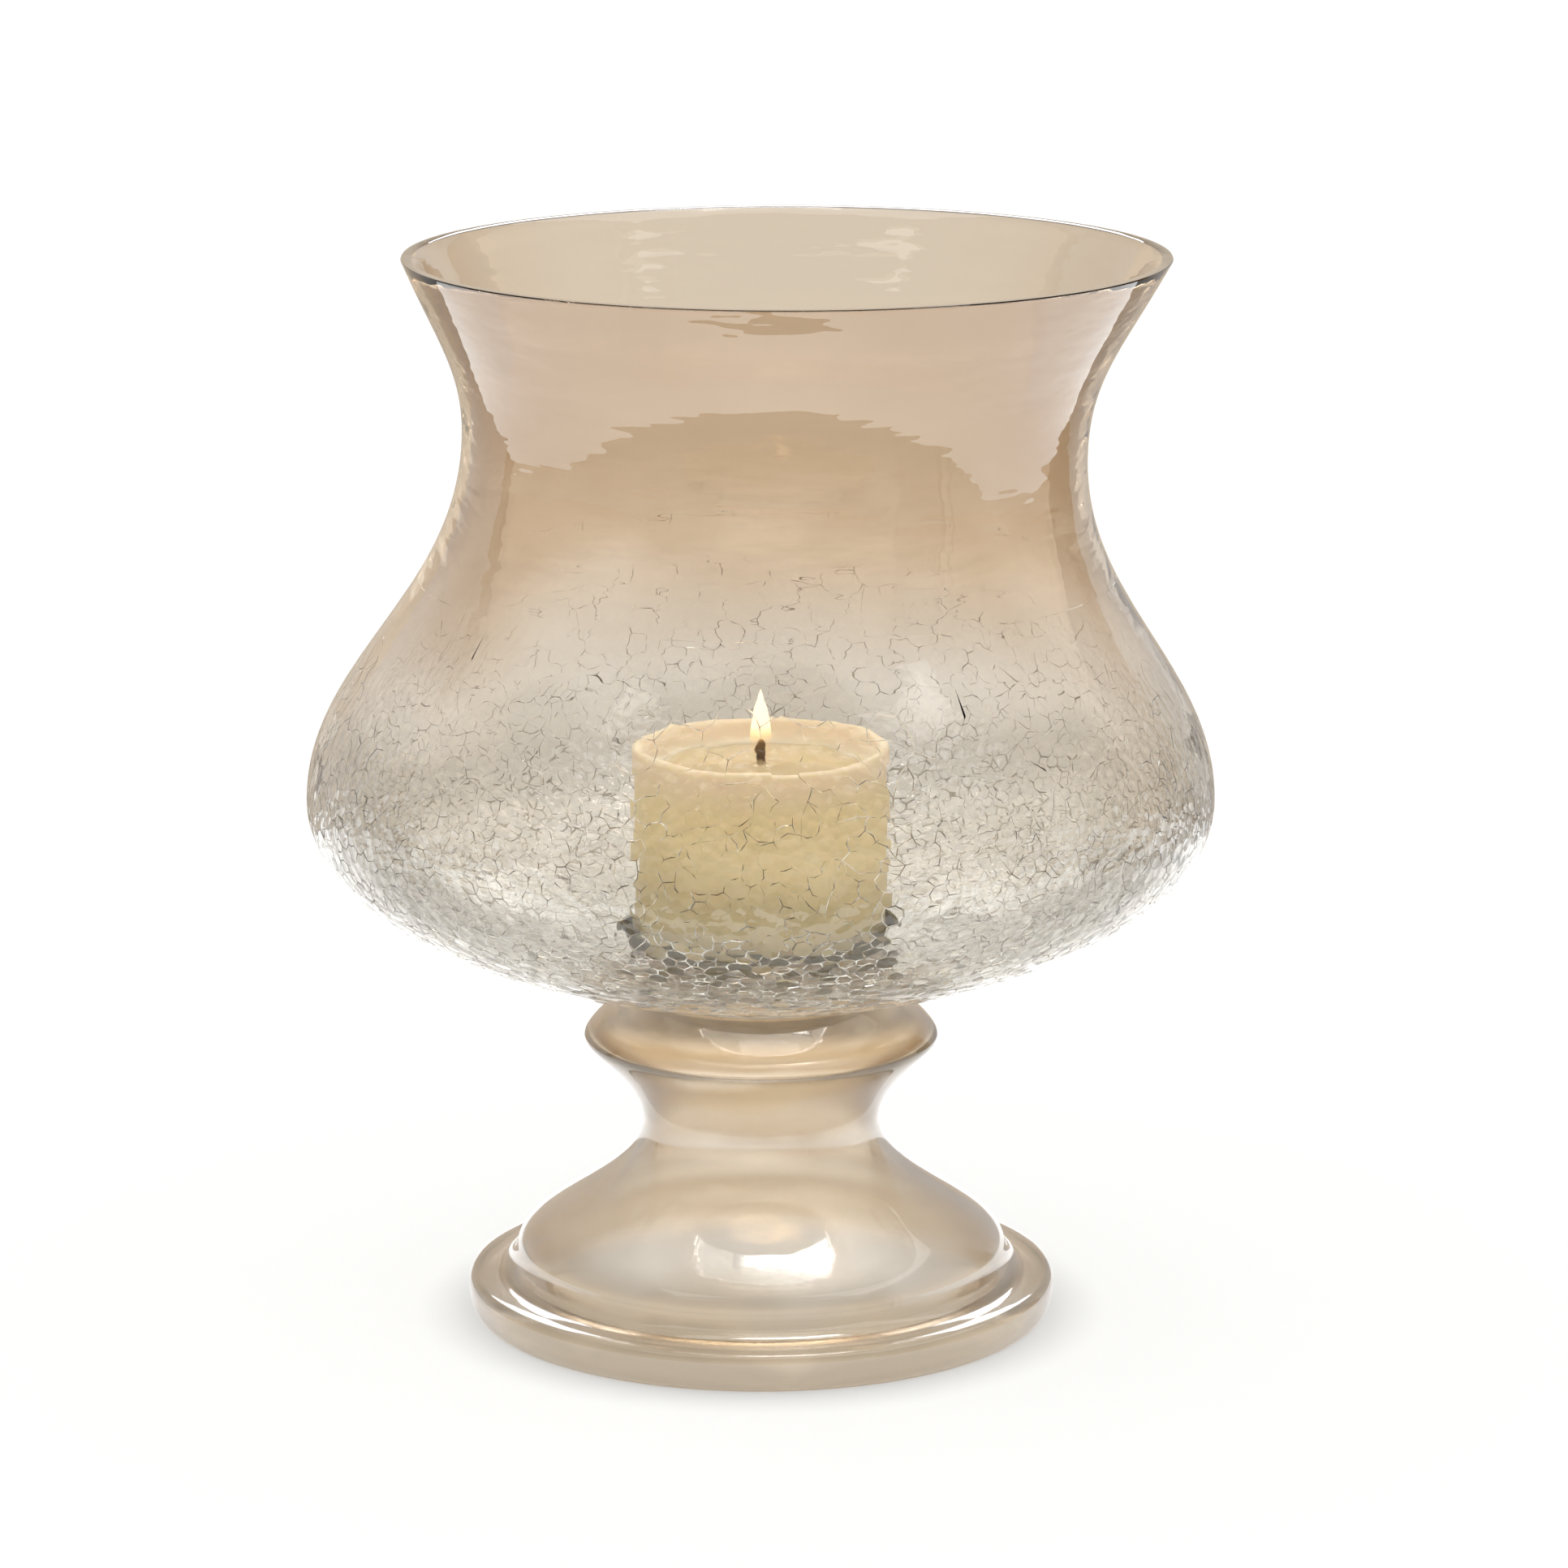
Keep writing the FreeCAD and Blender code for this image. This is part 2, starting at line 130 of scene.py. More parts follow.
# The dish's level, the height of the rim over it, and the radius outside which the rim is uneven.
DISH_Z = 157.4
RIM_RISE = 6.1
RIM_INSIDE = 30
POOL = [
    [(1.6, 155.45), (27.4, 155.45)],
    [(27.4, 155.45), (27.4, 157.38)],
    [(27.4, 157.38), (26.6, 157.0), (24.0, 157.0)],
    [(24.0, 157.0), (4.0, 157.0)],
    [(4.0, 157.0), (2.2, 157.0), (1.6, 157.38)],
    [(1.6, 157.38), (1.6, 155.45)],
]
# The wick's strands, their winding in radians a millimetre, and the height that it leaves the tab at.
STRANDS = 3
WINDING = 0.9
TAB_TOP_Z = 110.1
WICK = [
    [(AXIS, 105.5), (1.5, 105.5)],
    [(1.5, 105.5), (1.5, 162.9)],
    [(1.5, 162.9), (1.5, 164.3), (AXIS, 164.3)],
]
FLAME = [
    [(1.75, 158.4), (2.5, 159.4), (3.1, 162.2), (3.1, 165.2)],
    [(3.1, 165.2), (3.1, 170.0), (1.3, 174.6), (AXIS, 178.8)],
]
FLAME_HOLLOW = [
    [(AXIS, 165.2), (1.75, 165.2), (1.75, 163.8)],
    [(1.75, 163.8), (1.75, 158.4)],
]


def linear(hex_colour):
    """An sRGB hex colour as linear RGBA."""
    channels = [int(hex_colour[start:start + 2], 16) / 255 for start in (1, 3, 5)]
    return [c / 12.92 if c <= 0.04045 else ((c + 0.055) / 1.055) ** 2.4 for c in channels] + [1.0]


def add_node(tree, kind, settings=None, inputs=None, stops=None):
    """Adds a node with its settings, sets or links its inputs, and gives a ramp its stops.

    Inputs go by name or number: 0 to 4 of a map range are its value and the ends it runs from and to,
    and 0, 6 and 7 of a colour mix are its share and its two colours.
    """
    made = tree.nodes.new(kind)
    for name, value in (settings or {}).items():
        setattr(made, name, value)
    for socket, value in (inputs or {}).items():
        if isinstance(value, bpy.types.NodeSocket):
            tree.links.new(value, made.inputs[socket])
        else:
            made.inputs[socket].default_value = value
    for index, (position, colour) in enumerate(stops or []):
        ramp = made.color_ramp.elements
        stop = ramp[index] if index < 2 else ramp.new(position)
        stop.position = position
        stop.color = colour
    return made


def between(table, value):
    """The value read off a table of (place, amount), straight between its rows."""
    if value <= table[0][0]:
        return table[0][1]
    for (low, first), (high, last) in zip(table, table[1:]):
        if value <= high:
            return first + (last - first) * (value - low) / (high - low)
    return table[-1][1]


def wrapped(angle):
    """An angle brought to within half a turn of nought."""
    return (angle + math.pi) % math.tau - math.pi


def lean(height):
    """How far the glass stands to the right of the axis at a height."""
    return MOUTH_LEAN * max(0.0, height - LEAN_START_Z) / (MOUTH_Z - LEAN_START_Z)


def stations(control, step):
    """Rings (radius, height, lean) about a step apart along a curve of control points, without its first."""
    leaning = [(radius, height, lean(height)) for radius, height in control]
    length = sum(math.dist(a, b) for a, b in zip(leaning, leaning[1:]))
    count = max(1, round(length / step))
    order = len(control) - 1
    rings = []
    for index in range(1, count + 1):
        share = index / count
        weights = [math.comb(order, k) * share**k * (1 - share) ** (order - k) for k in range(order + 1)]
        rings.append(tuple(sum(w * point[axis] for w, point in zip(weights, leaning)) for axis in range(3)))
    return rings


def outline(curves, step):
    """The rings along several curves that follow each other."""
    radius, height = curves[0][0]
    rings = [(radius, height, lean(height))]
    for control in curves:
        rings += stations(control, step)
    return rings


def turned(name, rings, segments):
    """A circle extruded from ring to ring, with small rings at the axis closed."""
    bpy.ops.object.select_all(action="DESELECT")
    radius, height, aside = rings[0]
    start = (aside * MM, 0, height * MM)
    bpy.ops.mesh.primitive_circle_add(vertices=segments, radius=radius * MM, location=start)
    piece = bpy.context.object
    piece.name = name
    bpy.ops.object.transform_apply(location=True, rotation=True, scale=True)
    bpy.ops.object.mode_set(mode="EDIT")
    bpy.ops.mesh.select_all(action="SELECT")
    for before, after in zip(rings, rings[1:]):
        move = ((after[2] - before[2]) * MM, 0, (after[1] - before[1]) * MM)
        bpy.ops.mesh.extrude_edges_move(TRANSFORM_OT_translate={"value": move})
        wider = after[0] / before[0]
        middle = (after[2] * MM, 0, after[1] * MM)
        bpy.ops.transform.resize(value=(wider, wider, 1), center_override=middle)
    bpy.ops.mesh.select_all(action="SELECT")
    bpy.ops.mesh.remove_doubles(threshold=0.03 * MM)
    bpy.ops.object.mode_set(mode="OBJECT")
    return piece


def join(piece, *others):
    """Joins meshes into one and welds the rings they share."""
    bpy.ops.object.select_all(action="DESELECT")
    for other in others:
        other.select_set(True)
    piece.select_set(True)
    bpy.context.view_layer.objects.active = piece
    bpy.ops.object.join()
    bpy.ops.object.mode_set(mode="EDIT")
    bpy.ops.mesh.select_all(action="SELECT")
    bpy.ops.mesh.remove_doubles(threshold=0.02 * MM)
    bpy.ops.object.mode_set(mode="OBJECT")
    return piece


def finish_mesh(piece, angle=40):
    """Turns the faces outward and smooths all edges but the sharp ones."""
    bpy.ops.object.select_all(action="DESELECT")
    piece.select_set(True)
    bpy.context.view_layer.objects.active = piece
    bpy.ops.object.mode_set(mode="EDIT")
    bpy.ops.mesh.select_all(action="SELECT")
    bpy.ops.mesh.normals_make_consistent(inside=False)
    bpy.ops.object.mode_set(mode="OBJECT")
    bpy.ops.object.shade_smooth_by_angle(angle=math.radians(angle))
    return piece


class CrackleSurface:
    """The bowl's outer face, unrolled so that shapes keep their angles: turn round the axis, and rise."""

    def __init__(self, rings):
        self.rings = rings
        self.rises = [0.0]
        for (r0, z0, _), (r1, z1, _) in zip(rings, rings[1:]):
            self.rises.append(self.rises[-1] + math.hypot(r1 - r0, z1 - z0) * 2 / (r0 + r1))
        self.top = self.rises[-1]

    def ring(self, rise):
        """The (radius, height, lean) at a rise."""
        index = min(max(bisect_right(self.rises, rise) - 1, 0), len(self.rings) - 2)
        share = (rise - self.rises[index]) / (self.rises[index + 1] - self.rises[index])
        return [a + (b - a) * share for a, b in zip(self.rings[index], self.rings[index + 1])]

    def point(self, turn, rise):
        """The place on the glass."""
        radius, height, aside = self.ring(rise)
        return Vector((aside + radius * math.cos(turn), radius * math.sin(turn), height))

    def normal(self, turn, rise):
        """The way the glass faces."""
        step = 0.002
        lower = self.ring(max(rise - step, 0.0))
        upper = self.ring(min(rise + step, self.top))
        run = Vector((upper[0] - lower[0], upper[1] - lower[1])).normalized()
        return Vector((run.y * math.cos(turn), run.y * math.sin(turn), -run.x))


def crackle_sites(surface, dice, low_count, top_count):
    """Cell middles: one row along each edge of the crackle, and between them scattered ones a cell apart."""
    sites = [((i + 0.5) * math.tau / low_count, 0.0) for i in range(low_count)]
    sites += [((i + 0.5) * math.tau / top_count, surface.top) for i in range(top_count)]
    grid = {}
    reach = 14.0

    def cell(place):
        return tuple(math.floor(c / reach) for c in place)

    for turn, rise in sites:
        grid.setdefault(cell(surface.point(turn, rise)), []).append((turn, rise))
    areas = []
    total = 0.0
    for (r0, z0, _), (r1, z1, _) in zip(surface.rings, surface.rings[1:]):
        total += (r0 + r1) / 2 * math.hypot(r1 - r0, z1 - z0)
        areas.append(total)
    for _ in range(CELL_TRIES):
        index = bisect_right(areas, dice.random() * total)
        rise = surface.rises[index] + dice.random() * (surface.rises[index + 1] - surface.rises[index])
        turn = dice.random() * math.tau
        place = surface.point(turn, rise)
        gap = between(CELL_SPACING, place.z) * dice.uniform(0.85, 1.2) / surface.ring(rise)[0]
        wide = math.sqrt(between(CELL_STRETCH, place.z))
        a, b, c = cell(place)
        near = (other for i in (-1, 0, 1) for j in (-1, 0, 1) for k in (-1, 0, 1)
                for other in grid.get((a + i, b + j, c + k), ()))
        if all(math.hypot(wrapped(t - turn) / wide, (s - rise) * wide) > gap for t, s in near):
            grid.setdefault((a, b, c), []).append((turn, rise))
            sites.append((turn, rise))
    return sites


def crackle_cells(surface, sites, low_count, top_count, segments, dice):
    """Corners (turn, rise) of the crackle, its cells as loops of them, and those on the smooth rings."""
    margin = 0.9
    points = []
    owner = []
    for index, (turn, rise) in enumerate(sites):
        for shift in (-math.tau, 0.0, math.tau):
            if -margin < turn + shift < math.tau + margin:
                points.append(Vector((turn + shift, rise)))
                owner.append(index)
    spots, _, triangles, origin, _, _ = delaunay_2d_cdt(points, [], [], 0, 1e-9)
    corners = []
    around = [[] for _ in sites]
    for triangle in triangles:
        turn = sum(spots[i][0] for i in triangle) / 3
        rise = sum(spots[i][1] for i in triangle) / 3
        if 0.0 <= turn < math.tau:
            corners.append((turn, rise))
            for spot in triangle:
                around[owner[origin[spot][0]]].append(len(corners) - 1)
    fixed = {}

    def edge_corner(step, rise):
        key = (step % segments, rise)
        if key not in fixed:
            fixed[key] = len(corners)
            corners.append((key[0] * math.tau / segments, rise))
        return fixed[key]

    cells = []
    for index, (turn, rise) in enumerate(sites):
        def heading(corner):
            aside = wrapped(corners[corner][0] - turn)
            return math.atan2(corners[corner][1] - rise, aside)
        loop = sorted(around[index], key=heading)
        if index < low_count:
            run = segments // low_count
            row = [edge_corner(index * run + step, 0.0) for step in range(run + 1)]
            loop = loop + row
        elif index < low_count + top_count:
            run = segments // top_count
            first = (index - low_count) * run
            row = [edge_corner(first + step, surface.top) for step in range(run, -1, -1)]
            loop = loop + row
        elif len(loop) > 4 and dice.random() < SPLIT_CHANCE:
            start = dice.randrange(len(loop))
            loop = loop[start:] + loop[:start]
            half = len(loop) // 2
            cells.append(loop[:half + 1])
            loop = loop[half:] + loop[:1]
        cells.append(loop)
    return corners, cells, set(fixed.values())


def crooked(surface, corners, cells, kept, dice):
    """Adds a corner off the middle of each longer crack, so that no crack runs straight."""
    middles = {}
    bent = []
    for loop in cells:
        full = []
        for first, last in zip(loop, loop[1:] + loop[:1]):
            full.append(first)
            if first in kept and last in kept:
                continue
            key = (min(first, last), max(first, last))
            if key not in middles:
                (t0, s0), (t1, s1) = corners[key[0]], corners[key[1]]
                along = (wrapped(t1 - t0), s1 - s0)
                radius = surface.ring((s0 + s1) / 2)[0]
                middles[key] = None
                if math.hypot(*along) * radius > BEND_FROM:
                    share = dice.uniform(0.4, 0.6)
                    off = dice.uniform(-BEND, BEND)
                    corners.append((t0 + along[0] * share - along[1] * off,
                                    s0 + along[1] * share + along[0] * off))
                    middles[key] = len(corners) - 1
            if middles[key] is not None:
                full.append(middles[key])
        bent.append(full)
    return bent


def crackle_skin(surface, low_count, top_count, segments):
    """The crackled outer face: tilted cells with a V groove along each crack."""
    dice = random.Random(5052)
    sites = crackle_sites(surface, dice, low_count, top_count)
    corners, cells, kept = crackle_cells(surface, sites, low_count, top_count, segments, dice)
    cells = crooked(surface, corners, cells, kept, dice)
    places = []
    cracks = []
    facings = [surface.normal(turn, rise) for turn, rise in corners]
    tops = [surface.point(turn, rise) for turn, rise in corners]
    for index in range(len(corners)):
        strength = 0.0
        if index not in kept:
            strength = between(CRACK_FADE, tops[index].z) * max(0.0, dice.uniform(*CRACK_DRAW))
        places.append(tops[index] - facings[index] * (between(CRACK_DEPTH, tops[index].z) * strength))
        cracks.append(strength)
    faces = []
    tilts = []
    smooth = []
    for loop in cells:
        first_turn = corners[loop[0]][0]
        turns = [wrapped(corners[c][0] - first_turn) + first_turn for c in loop]
        turn = sum(turns) / len(loop)
        rise = sum(corners[c][1] for c in loop) / len(loop)
        middle = surface.point(turn, rise)
        tilt = Vector((dice.gauss(0, 1), dice.gauss(0, 1), dice.gauss(0, 1))) * between(CELL_TILT, middle.z)
        inner = []
        bank = between(CRACK_WIDTH, middle.z) * BANK_WIDTHS
        for corner in loop:
            way = middle - tops[corner]
            share = min(BANK_SHARE, bank / way.length)
            inner.append(len(places))
            places.append(tops[corner] + way * share)
            facings.append(facings[corner].lerp(surface.normal(turn, rise), share))
            cracks.append(0.0)
        places.append(middle)
        facings.append(surface.normal(turn, rise))
        cracks.append(0.0)
        centre = len(places) - 1
        for k in range(len(loop)):
            n = (k + 1) % len(loop)
            faces.append((loop[k], loop[n], inner[n], inner[k]))
            tilts.append(tilt)
            smooth.append(cracks[loop[k]] + cracks[loop[n]] == 0)
            faces.append((inner[k], inner[n], centre))
            tilts.append(tilt)
            smooth.append(True)
    mesh = bpy.data.meshes.new("crackle_skin")
    mesh.from_pydata([place * MM for place in places], [], faces)
    mesh.attributes.new("crack", "FLOAT", "POINT").data.foreach_set("value", cracks)
    facing = mesh.attributes.new("facing", "FLOAT_VECTOR", "POINT")
    facing.data.foreach_set("vector", [c for vector in facings for c in vector])
    lean_of_cell = mesh.attributes.new("tilt", "FLOAT_VECTOR", "FACE")
    lean_of_cell.data.foreach_set("vector", [c for vector in tilts for c in vector])
    mesh.attributes.new("cell", "BOOLEAN", "FACE").data.foreach_set("value", smooth)
    skin = bpy.data.objects.new("crackle_skin", mesh)
    bpy.context.collection.objects.link(skin)
    return skin


def round_cells(piece):
    """Shades each cell as the curved glass it is, with its own slight tilt, and leaves the grooves crisp."""
    mesh = piece.data
    facing = mesh.attributes["facing"].data
    tilt = mesh.attributes["tilt"].data
    cell = mesh.attributes["cell"].data
    normals = [(0.0, 0.0, 0.0)] * len(mesh.loops)
    for face in mesh.polygons:
        if cell[face.index].value:
            for corner in face.loop_indices:
                way = facing[mesh.loops[corner].vertex_index].vector + tilt[face.index].vector
                normals[corner] = way.normalized()
    mesh.normals_split_custom_set(normals)
    for name in ("facing", "tilt", "cell"):
        mesh.attributes.remove(mesh.attributes[name])
    return piece


def make_glass_shade():
    """The blown shade: a crackled bowl under a smooth shoulder, neck and flared, ground mouth."""
    segments = 192
    shoulder = stations(SHOULDER, 0.5)
    cut = min(range(len(shoulder)), key=lambda i: abs(shoulder[i][1] - CRACKLE_TOP_Z))
    bowl_rings = [(*BOWL[0], 0.0)] + stations(BOWL, 0.5) + shoulder[:cut + 1]
    surface = CrackleSurface(bowl_rings)
    skin = crackle_skin(surface, LOW_CELLS, TOP_CELLS, segments)

    upper = [shoulder[cut]] + shoulder[cut + 5::5]
    if upper[-1] != shoulder[-1]:
        upper.append(shoulder[-1])
    mouth = stations(MOUTH, 2.5)
    outer_edge = mouth.pop()
    inner_edge = (INNER_MOUTH[0][0], INNER_MOUTH[0][1], lean(INNER_MOUTH[0][1]))
    wall = upper + mouth
    wall.append((outer_edge[0] - RIM_EDGE * 0.4, outer_edge[1] - RIM_EDGE, outer_edge[2]))
    wall.append((outer_edge[0] - RIM_EDGE, outer_edge[1], outer_edge[2]))
    wall.append((inner_edge[0] + RIM_EDGE, inner_edge[1], inner_edge[2]))
    wall.append((inner_edge[0] - RIM_EDGE * 0.4, inner_edge[1] - RIM_EDGE, inner_edge[2]))
    wall += stations(INNER_MOUTH, 2.5) + stations(INNER_SHOULDER, 2.5) + stations(INNER_BOWL, 2.5)
    wall += [(22.0, 101.0, 0.0), (12.0, 101.0, 0.0), (4.0, 101.0, 0.0), (AXIS, 101.0, 0.0)]
    shade = turned("crackle_glass_shade", wall, segments)
    boss = [(AXIS, SEAT_Z, 0.0), (12.0, SEAT_Z, 0.0), (24.0, SEAT_Z, 0.0)]
    boss += [(35.7, SEAT_Z, 0.0), (36.0, SEAT_Z + 0.3, 0.0)] + stations(BOSS, 1.2)[1:]
    foot = turned("shade_boss", boss, segments)
    join(shade, skin, foot)
    return round_cells(finish_mesh(shade))


def make_glass_pedestal():
    """The blown, hollow pedestal: foot, dome, waist and collar."""
    outside = outline(PEDESTAL_OUTSIDE, 1.6)
    inside = outline(PEDESTAL_INSIDE, 1.6)
    shell = turned("amber_glass_pedestal", outside, 160)
    hollow = turned("pedestal_hollow", inside, 160)
    join(shell, hollow)
    return finish_mesh(shell)


def make_candle():
    """The burnt-down pillar: its rim stands uneven where the heat has drawn it down."""
    candle = turned("ivory_wax_candle", outline(CANDLE, 1.1), 144)
    for vertex in candle.data.vertices:
        place = vertex.co / MM
        share = min(max((place.z - DISH_Z) / RIM_RISE, 0.0), 1.0)
        turn = math.atan2(place.y, place.x)
        wave = noise.noise(Vector((math.cos(turn) * 1.6, math.sin(turn) * 1.6, 4.2)))
        small = noise.noise(Vector((math.cos(turn) * 5.0, math.sin(turn) * 5.0, 9.7)))
        drop = max(0.0, 0.7 - 0.7 * math.sin(turn) + 0.6 * wave + 0.25 * small)
        if share > 0 and place.xy.length > RIM_INSIDE:
            vertex.co.z -= drop * share**2 * MM
            pull = 0.35 * small * share
            scale = 1 - max(0.0, pull) / place.xy.length
            vertex.co.x *= scale
            vertex.co.y *= scale
    return finish_mesh(candle, 50)


def make_pool():
    """The melted wax, drawn up where it wets the dish and the wick."""
    return finish_mesh(turned("melted_wax_pool", outline(POOL, 1.2), 128), 50)


def make_wick():
    """The braided wick: three strands that wind round each other, with a charred tip."""
    wick = turned("braided_wick", outline(WICK, 0.7), 36)
    for vertex in wick.data.vertices:
        place = vertex.co / MM
        radius = place.xy.length
        if radius > 0.3:
            turn = math.atan2(place.y, place.x)
            strand = abs(math.cos(STRANDS / 2 * (turn + place.z * WINDING)))
            scale = (0.80 + 0.22 * strand) if place.z > TAB_TOP_Z else 1.0
            vertex.co.x *= scale
            vertex.co.y *= scale
    return finish_mesh(wick, 60)


def make_flame():
    """The still flame round the top of the wick: a drop drawn out to a point."""
    flame = turned("candle_flame", outline(FLAME, 0.6), 48)
    hollow = turned("flame_hollow", outline(FLAME_HOLLOW, 0.6), 48)
    join(flame, hollow)
    return finish_mesh(flame, 80)


def new_material(name):
    """An empty node material with its output, and its tree."""
    material = bpy.data.materials.new(name)
    material.use_nodes = True
    material.node_tree.nodes.clear()
    return material, material.node_tree


def give(piece, material):
    """Sets a piece's only material."""
    if piece.material_slots:
        for slot in piece.material_slots:
            slot.material = material
    else:
        piece.data.materials.append(material)


# In the materials, heights and distances are metres, as the object coordinates are.
AMBER = linear("#DDCDB9")
# The colour painted along the cracks, where they show dark: painted shade.
CRACK_SHADE = linear("#3A2C1E")
# The colour painted on the ground rim's edge: painted shade that the glass edge shows.
GROUND_EDGE_SHADE = linear("#2E2218")
# Thin blown walls bend what is behind them little, and the lustre mirrors more than bare glass does.
GLASS_IOR = 1.2
LUSTRE_IOR = 1.7


def crackle_glass():
    """Blown soda glass: amber lustre above, clear crackle below; cracks painted dark as shade, lowest down
    painted white as glints.
    """
    material, tree = new_material("amber lustre crackle glass")
    coord = add_node(tree, "ShaderNodeTexCoord")
    axes = add_node(tree, "ShaderNodeSeparateXYZ", None, {0: coord.outputs["Object"]})
    height = axes.outputs["Z"]
    cloud = add_node(tree, "ShaderNodeTexNoise", None,
                     {"Vector": coord.outputs["Object"], "Scale": 1 / (55 * MM), "Detail": 2.0})
    drift = add_node(tree, "ShaderNodeMapRange", None,
                     {0: cloud.outputs["Fac"], 1: 0.3, 2: 0.7, 3: -0.012, 4: 0.012})
    cloudy = add_node(tree, "ShaderNodeMath", {"operation": "ADD"}, {0: height, 1: drift.outputs[0]})
    share = add_node(tree, "ShaderNodeMapRange", None, {0: cloudy.outputs[0], 1: 0.1, 2: 0.3, 3: 0.0, 4: 1.0})
    # Clear below and amber above; the near white stop at the floor and boss is painted light, and the other
    # low stops are painted light and shade.
    tint = add_node(tree, "ShaderNodeValToRGB", None, {0: share.outputs[0]}, stops=[
        (0.0, linear("#F8F6F1")), (1.0, AMBER), (0.03, linear("#DFDCD5")), (0.09, linear("#EAE7E1")),
        (0.14, linear("#DAD7D0")), (0.22, linear("#D6D3CC")), (0.30, linear("#F2EFEA")),
        (0.45, linear("#F8F1E9")), (0.66, AMBER)])
    crack = add_node(tree, "ShaderNodeAttribute", {"attribute_name": "crack"})
    breaks = add_node(tree, "ShaderNodeTexNoise", None,
                      {"Vector": coord.outputs["Object"], "Scale": 1 / (3 * MM), "Detail": 1.0})
    dash = add_node(tree, "ShaderNodeMapRange", None,
                    {0: breaks.outputs["Fac"], 1: 0.43, 2: 0.54, 3: 0.1, 4: 1.0})
    line = add_node(tree, "ShaderNodeMapRange", None,
                    {0: crack.outputs["Fac"], 1: 0.02, 2: 0.20, 3: 0.0, 4: 0.95})
    pale = add_node(tree, "ShaderNodeMapRange", None, {0: height, 1: 0.130, 2: 0.150, 3: 0.0, 4: 1.0})
    broken = add_node(tree, "ShaderNodeMath", {"operation": "MULTIPLY"},
                      {0: line.outputs[0], 1: dash.outputs[0]})
    # Above the lowest bowl, crack lines are mixed towards the dark crack colour: painted shade.
    dark = add_node(tree, "ShaderNodeMath", {"operation": "MULTIPLY"},
                    {0: broken.outputs[0], 1: pale.outputs[0]})
    crack_shaded = add_node(tree, "ShaderNodeMix", {"data_type": "RGBA"},
                       {0: dark.outputs[0], 6: tint.outputs[0], 7: CRACK_SHADE})
    # The ground edge of the mouth's rim is painted dark: painted shade.
    rim = add_node(tree, "ShaderNodeMapRange", None, {0: height, 1: 0.3003, 2: 0.3006, 3: 0.0, 4: 1.0})
    ground = add_node(tree, "ShaderNodeMix", {"data_type": "RGBA"},
                      {0: rim.outputs[0], 6: crack_shaded.outputs[2], 7: GROUND_EDGE_SHADE})
    slant = add_node(tree, "ShaderNodeLayerWeight", None, {"Blend": 0.5})
    depth = add_node(tree, "ShaderNodeMapRange", None,
                     {0: slant.outputs["Facing"], 1: 0.15, 2: 0.9, 3: 0.0, 4: 1.0})
    high = add_node(tree, "ShaderNodeMapRange", None, {0: height, 1: 0.098, 2: 0.110, 3: 0.1, 4: 1.0})
    thick = add_node(tree, "ShaderNodeMath", {"operation": "MULTIPLY"},
                     {0: depth.outputs[0], 1: high.outputs[0]})
    deep = add_node(tree, "ShaderNodeMix", {"data_type": "RGBA", "blend_type": "MULTIPLY"},
                    {0: thick.outputs[0], 6: ground.outputs[2], 7: tint.outputs[0]})
    stretch = add_node(tree, "ShaderNodeMapping", None,
                       {"Vector": coord.outputs["Object"], "Scale": (1.0, 1.0, 4.0)})
    ripple = add_node(tree, "ShaderNodeTexNoise", None,
                      {"Vector": stretch.outputs[0], "Scale": 1 / (30 * MM), "Detail": 2.0, "Roughness": 0.45})
    calm = add_node(tree, "ShaderNodeMapRange", {"interpolation_type": "SMOOTHSTEP"},
                    {0: height, 1: 0.195, 2: 0.225, 3: 0.25, 4: 1.0})
    swell = add_node(tree, "ShaderNodeMath", {"operation": "MULTIPLY"},
                     {0: ripple.outputs["Fac"], 1: calm.outputs[0]})
    bump = add_node(tree, "ShaderNodeBump", None,
                    {"Strength": 1.0, "Distance": 0.0005, "Height": swell.outputs[0]})
    chips = add_node(tree, "ShaderNodeTexVoronoi", None,
                     {"Vector": coord.outputs["Object"], "Scale": 1 / (3.5 * MM)})
    low = add_node(tree, "ShaderNodeMapRange", {"interpolation_type": "SMOOTHSTEP"},
                   {0: height, 1: 0.165, 2: 0.200, 3: 1.0, 4: 0.0})
    crazed = add_node(tree, "ShaderNodeMath", {"operation": "MULTIPLY"},
                      {0: chips.outputs["Distance"], 1: low.outputs[0]})
    glint = add_node(tree, "ShaderNodeBump", None,
                     {"Strength": 1.0, "Distance": 0.0008, "Height": crazed.outputs[0],
                      "Normal": bump.outputs[0]})
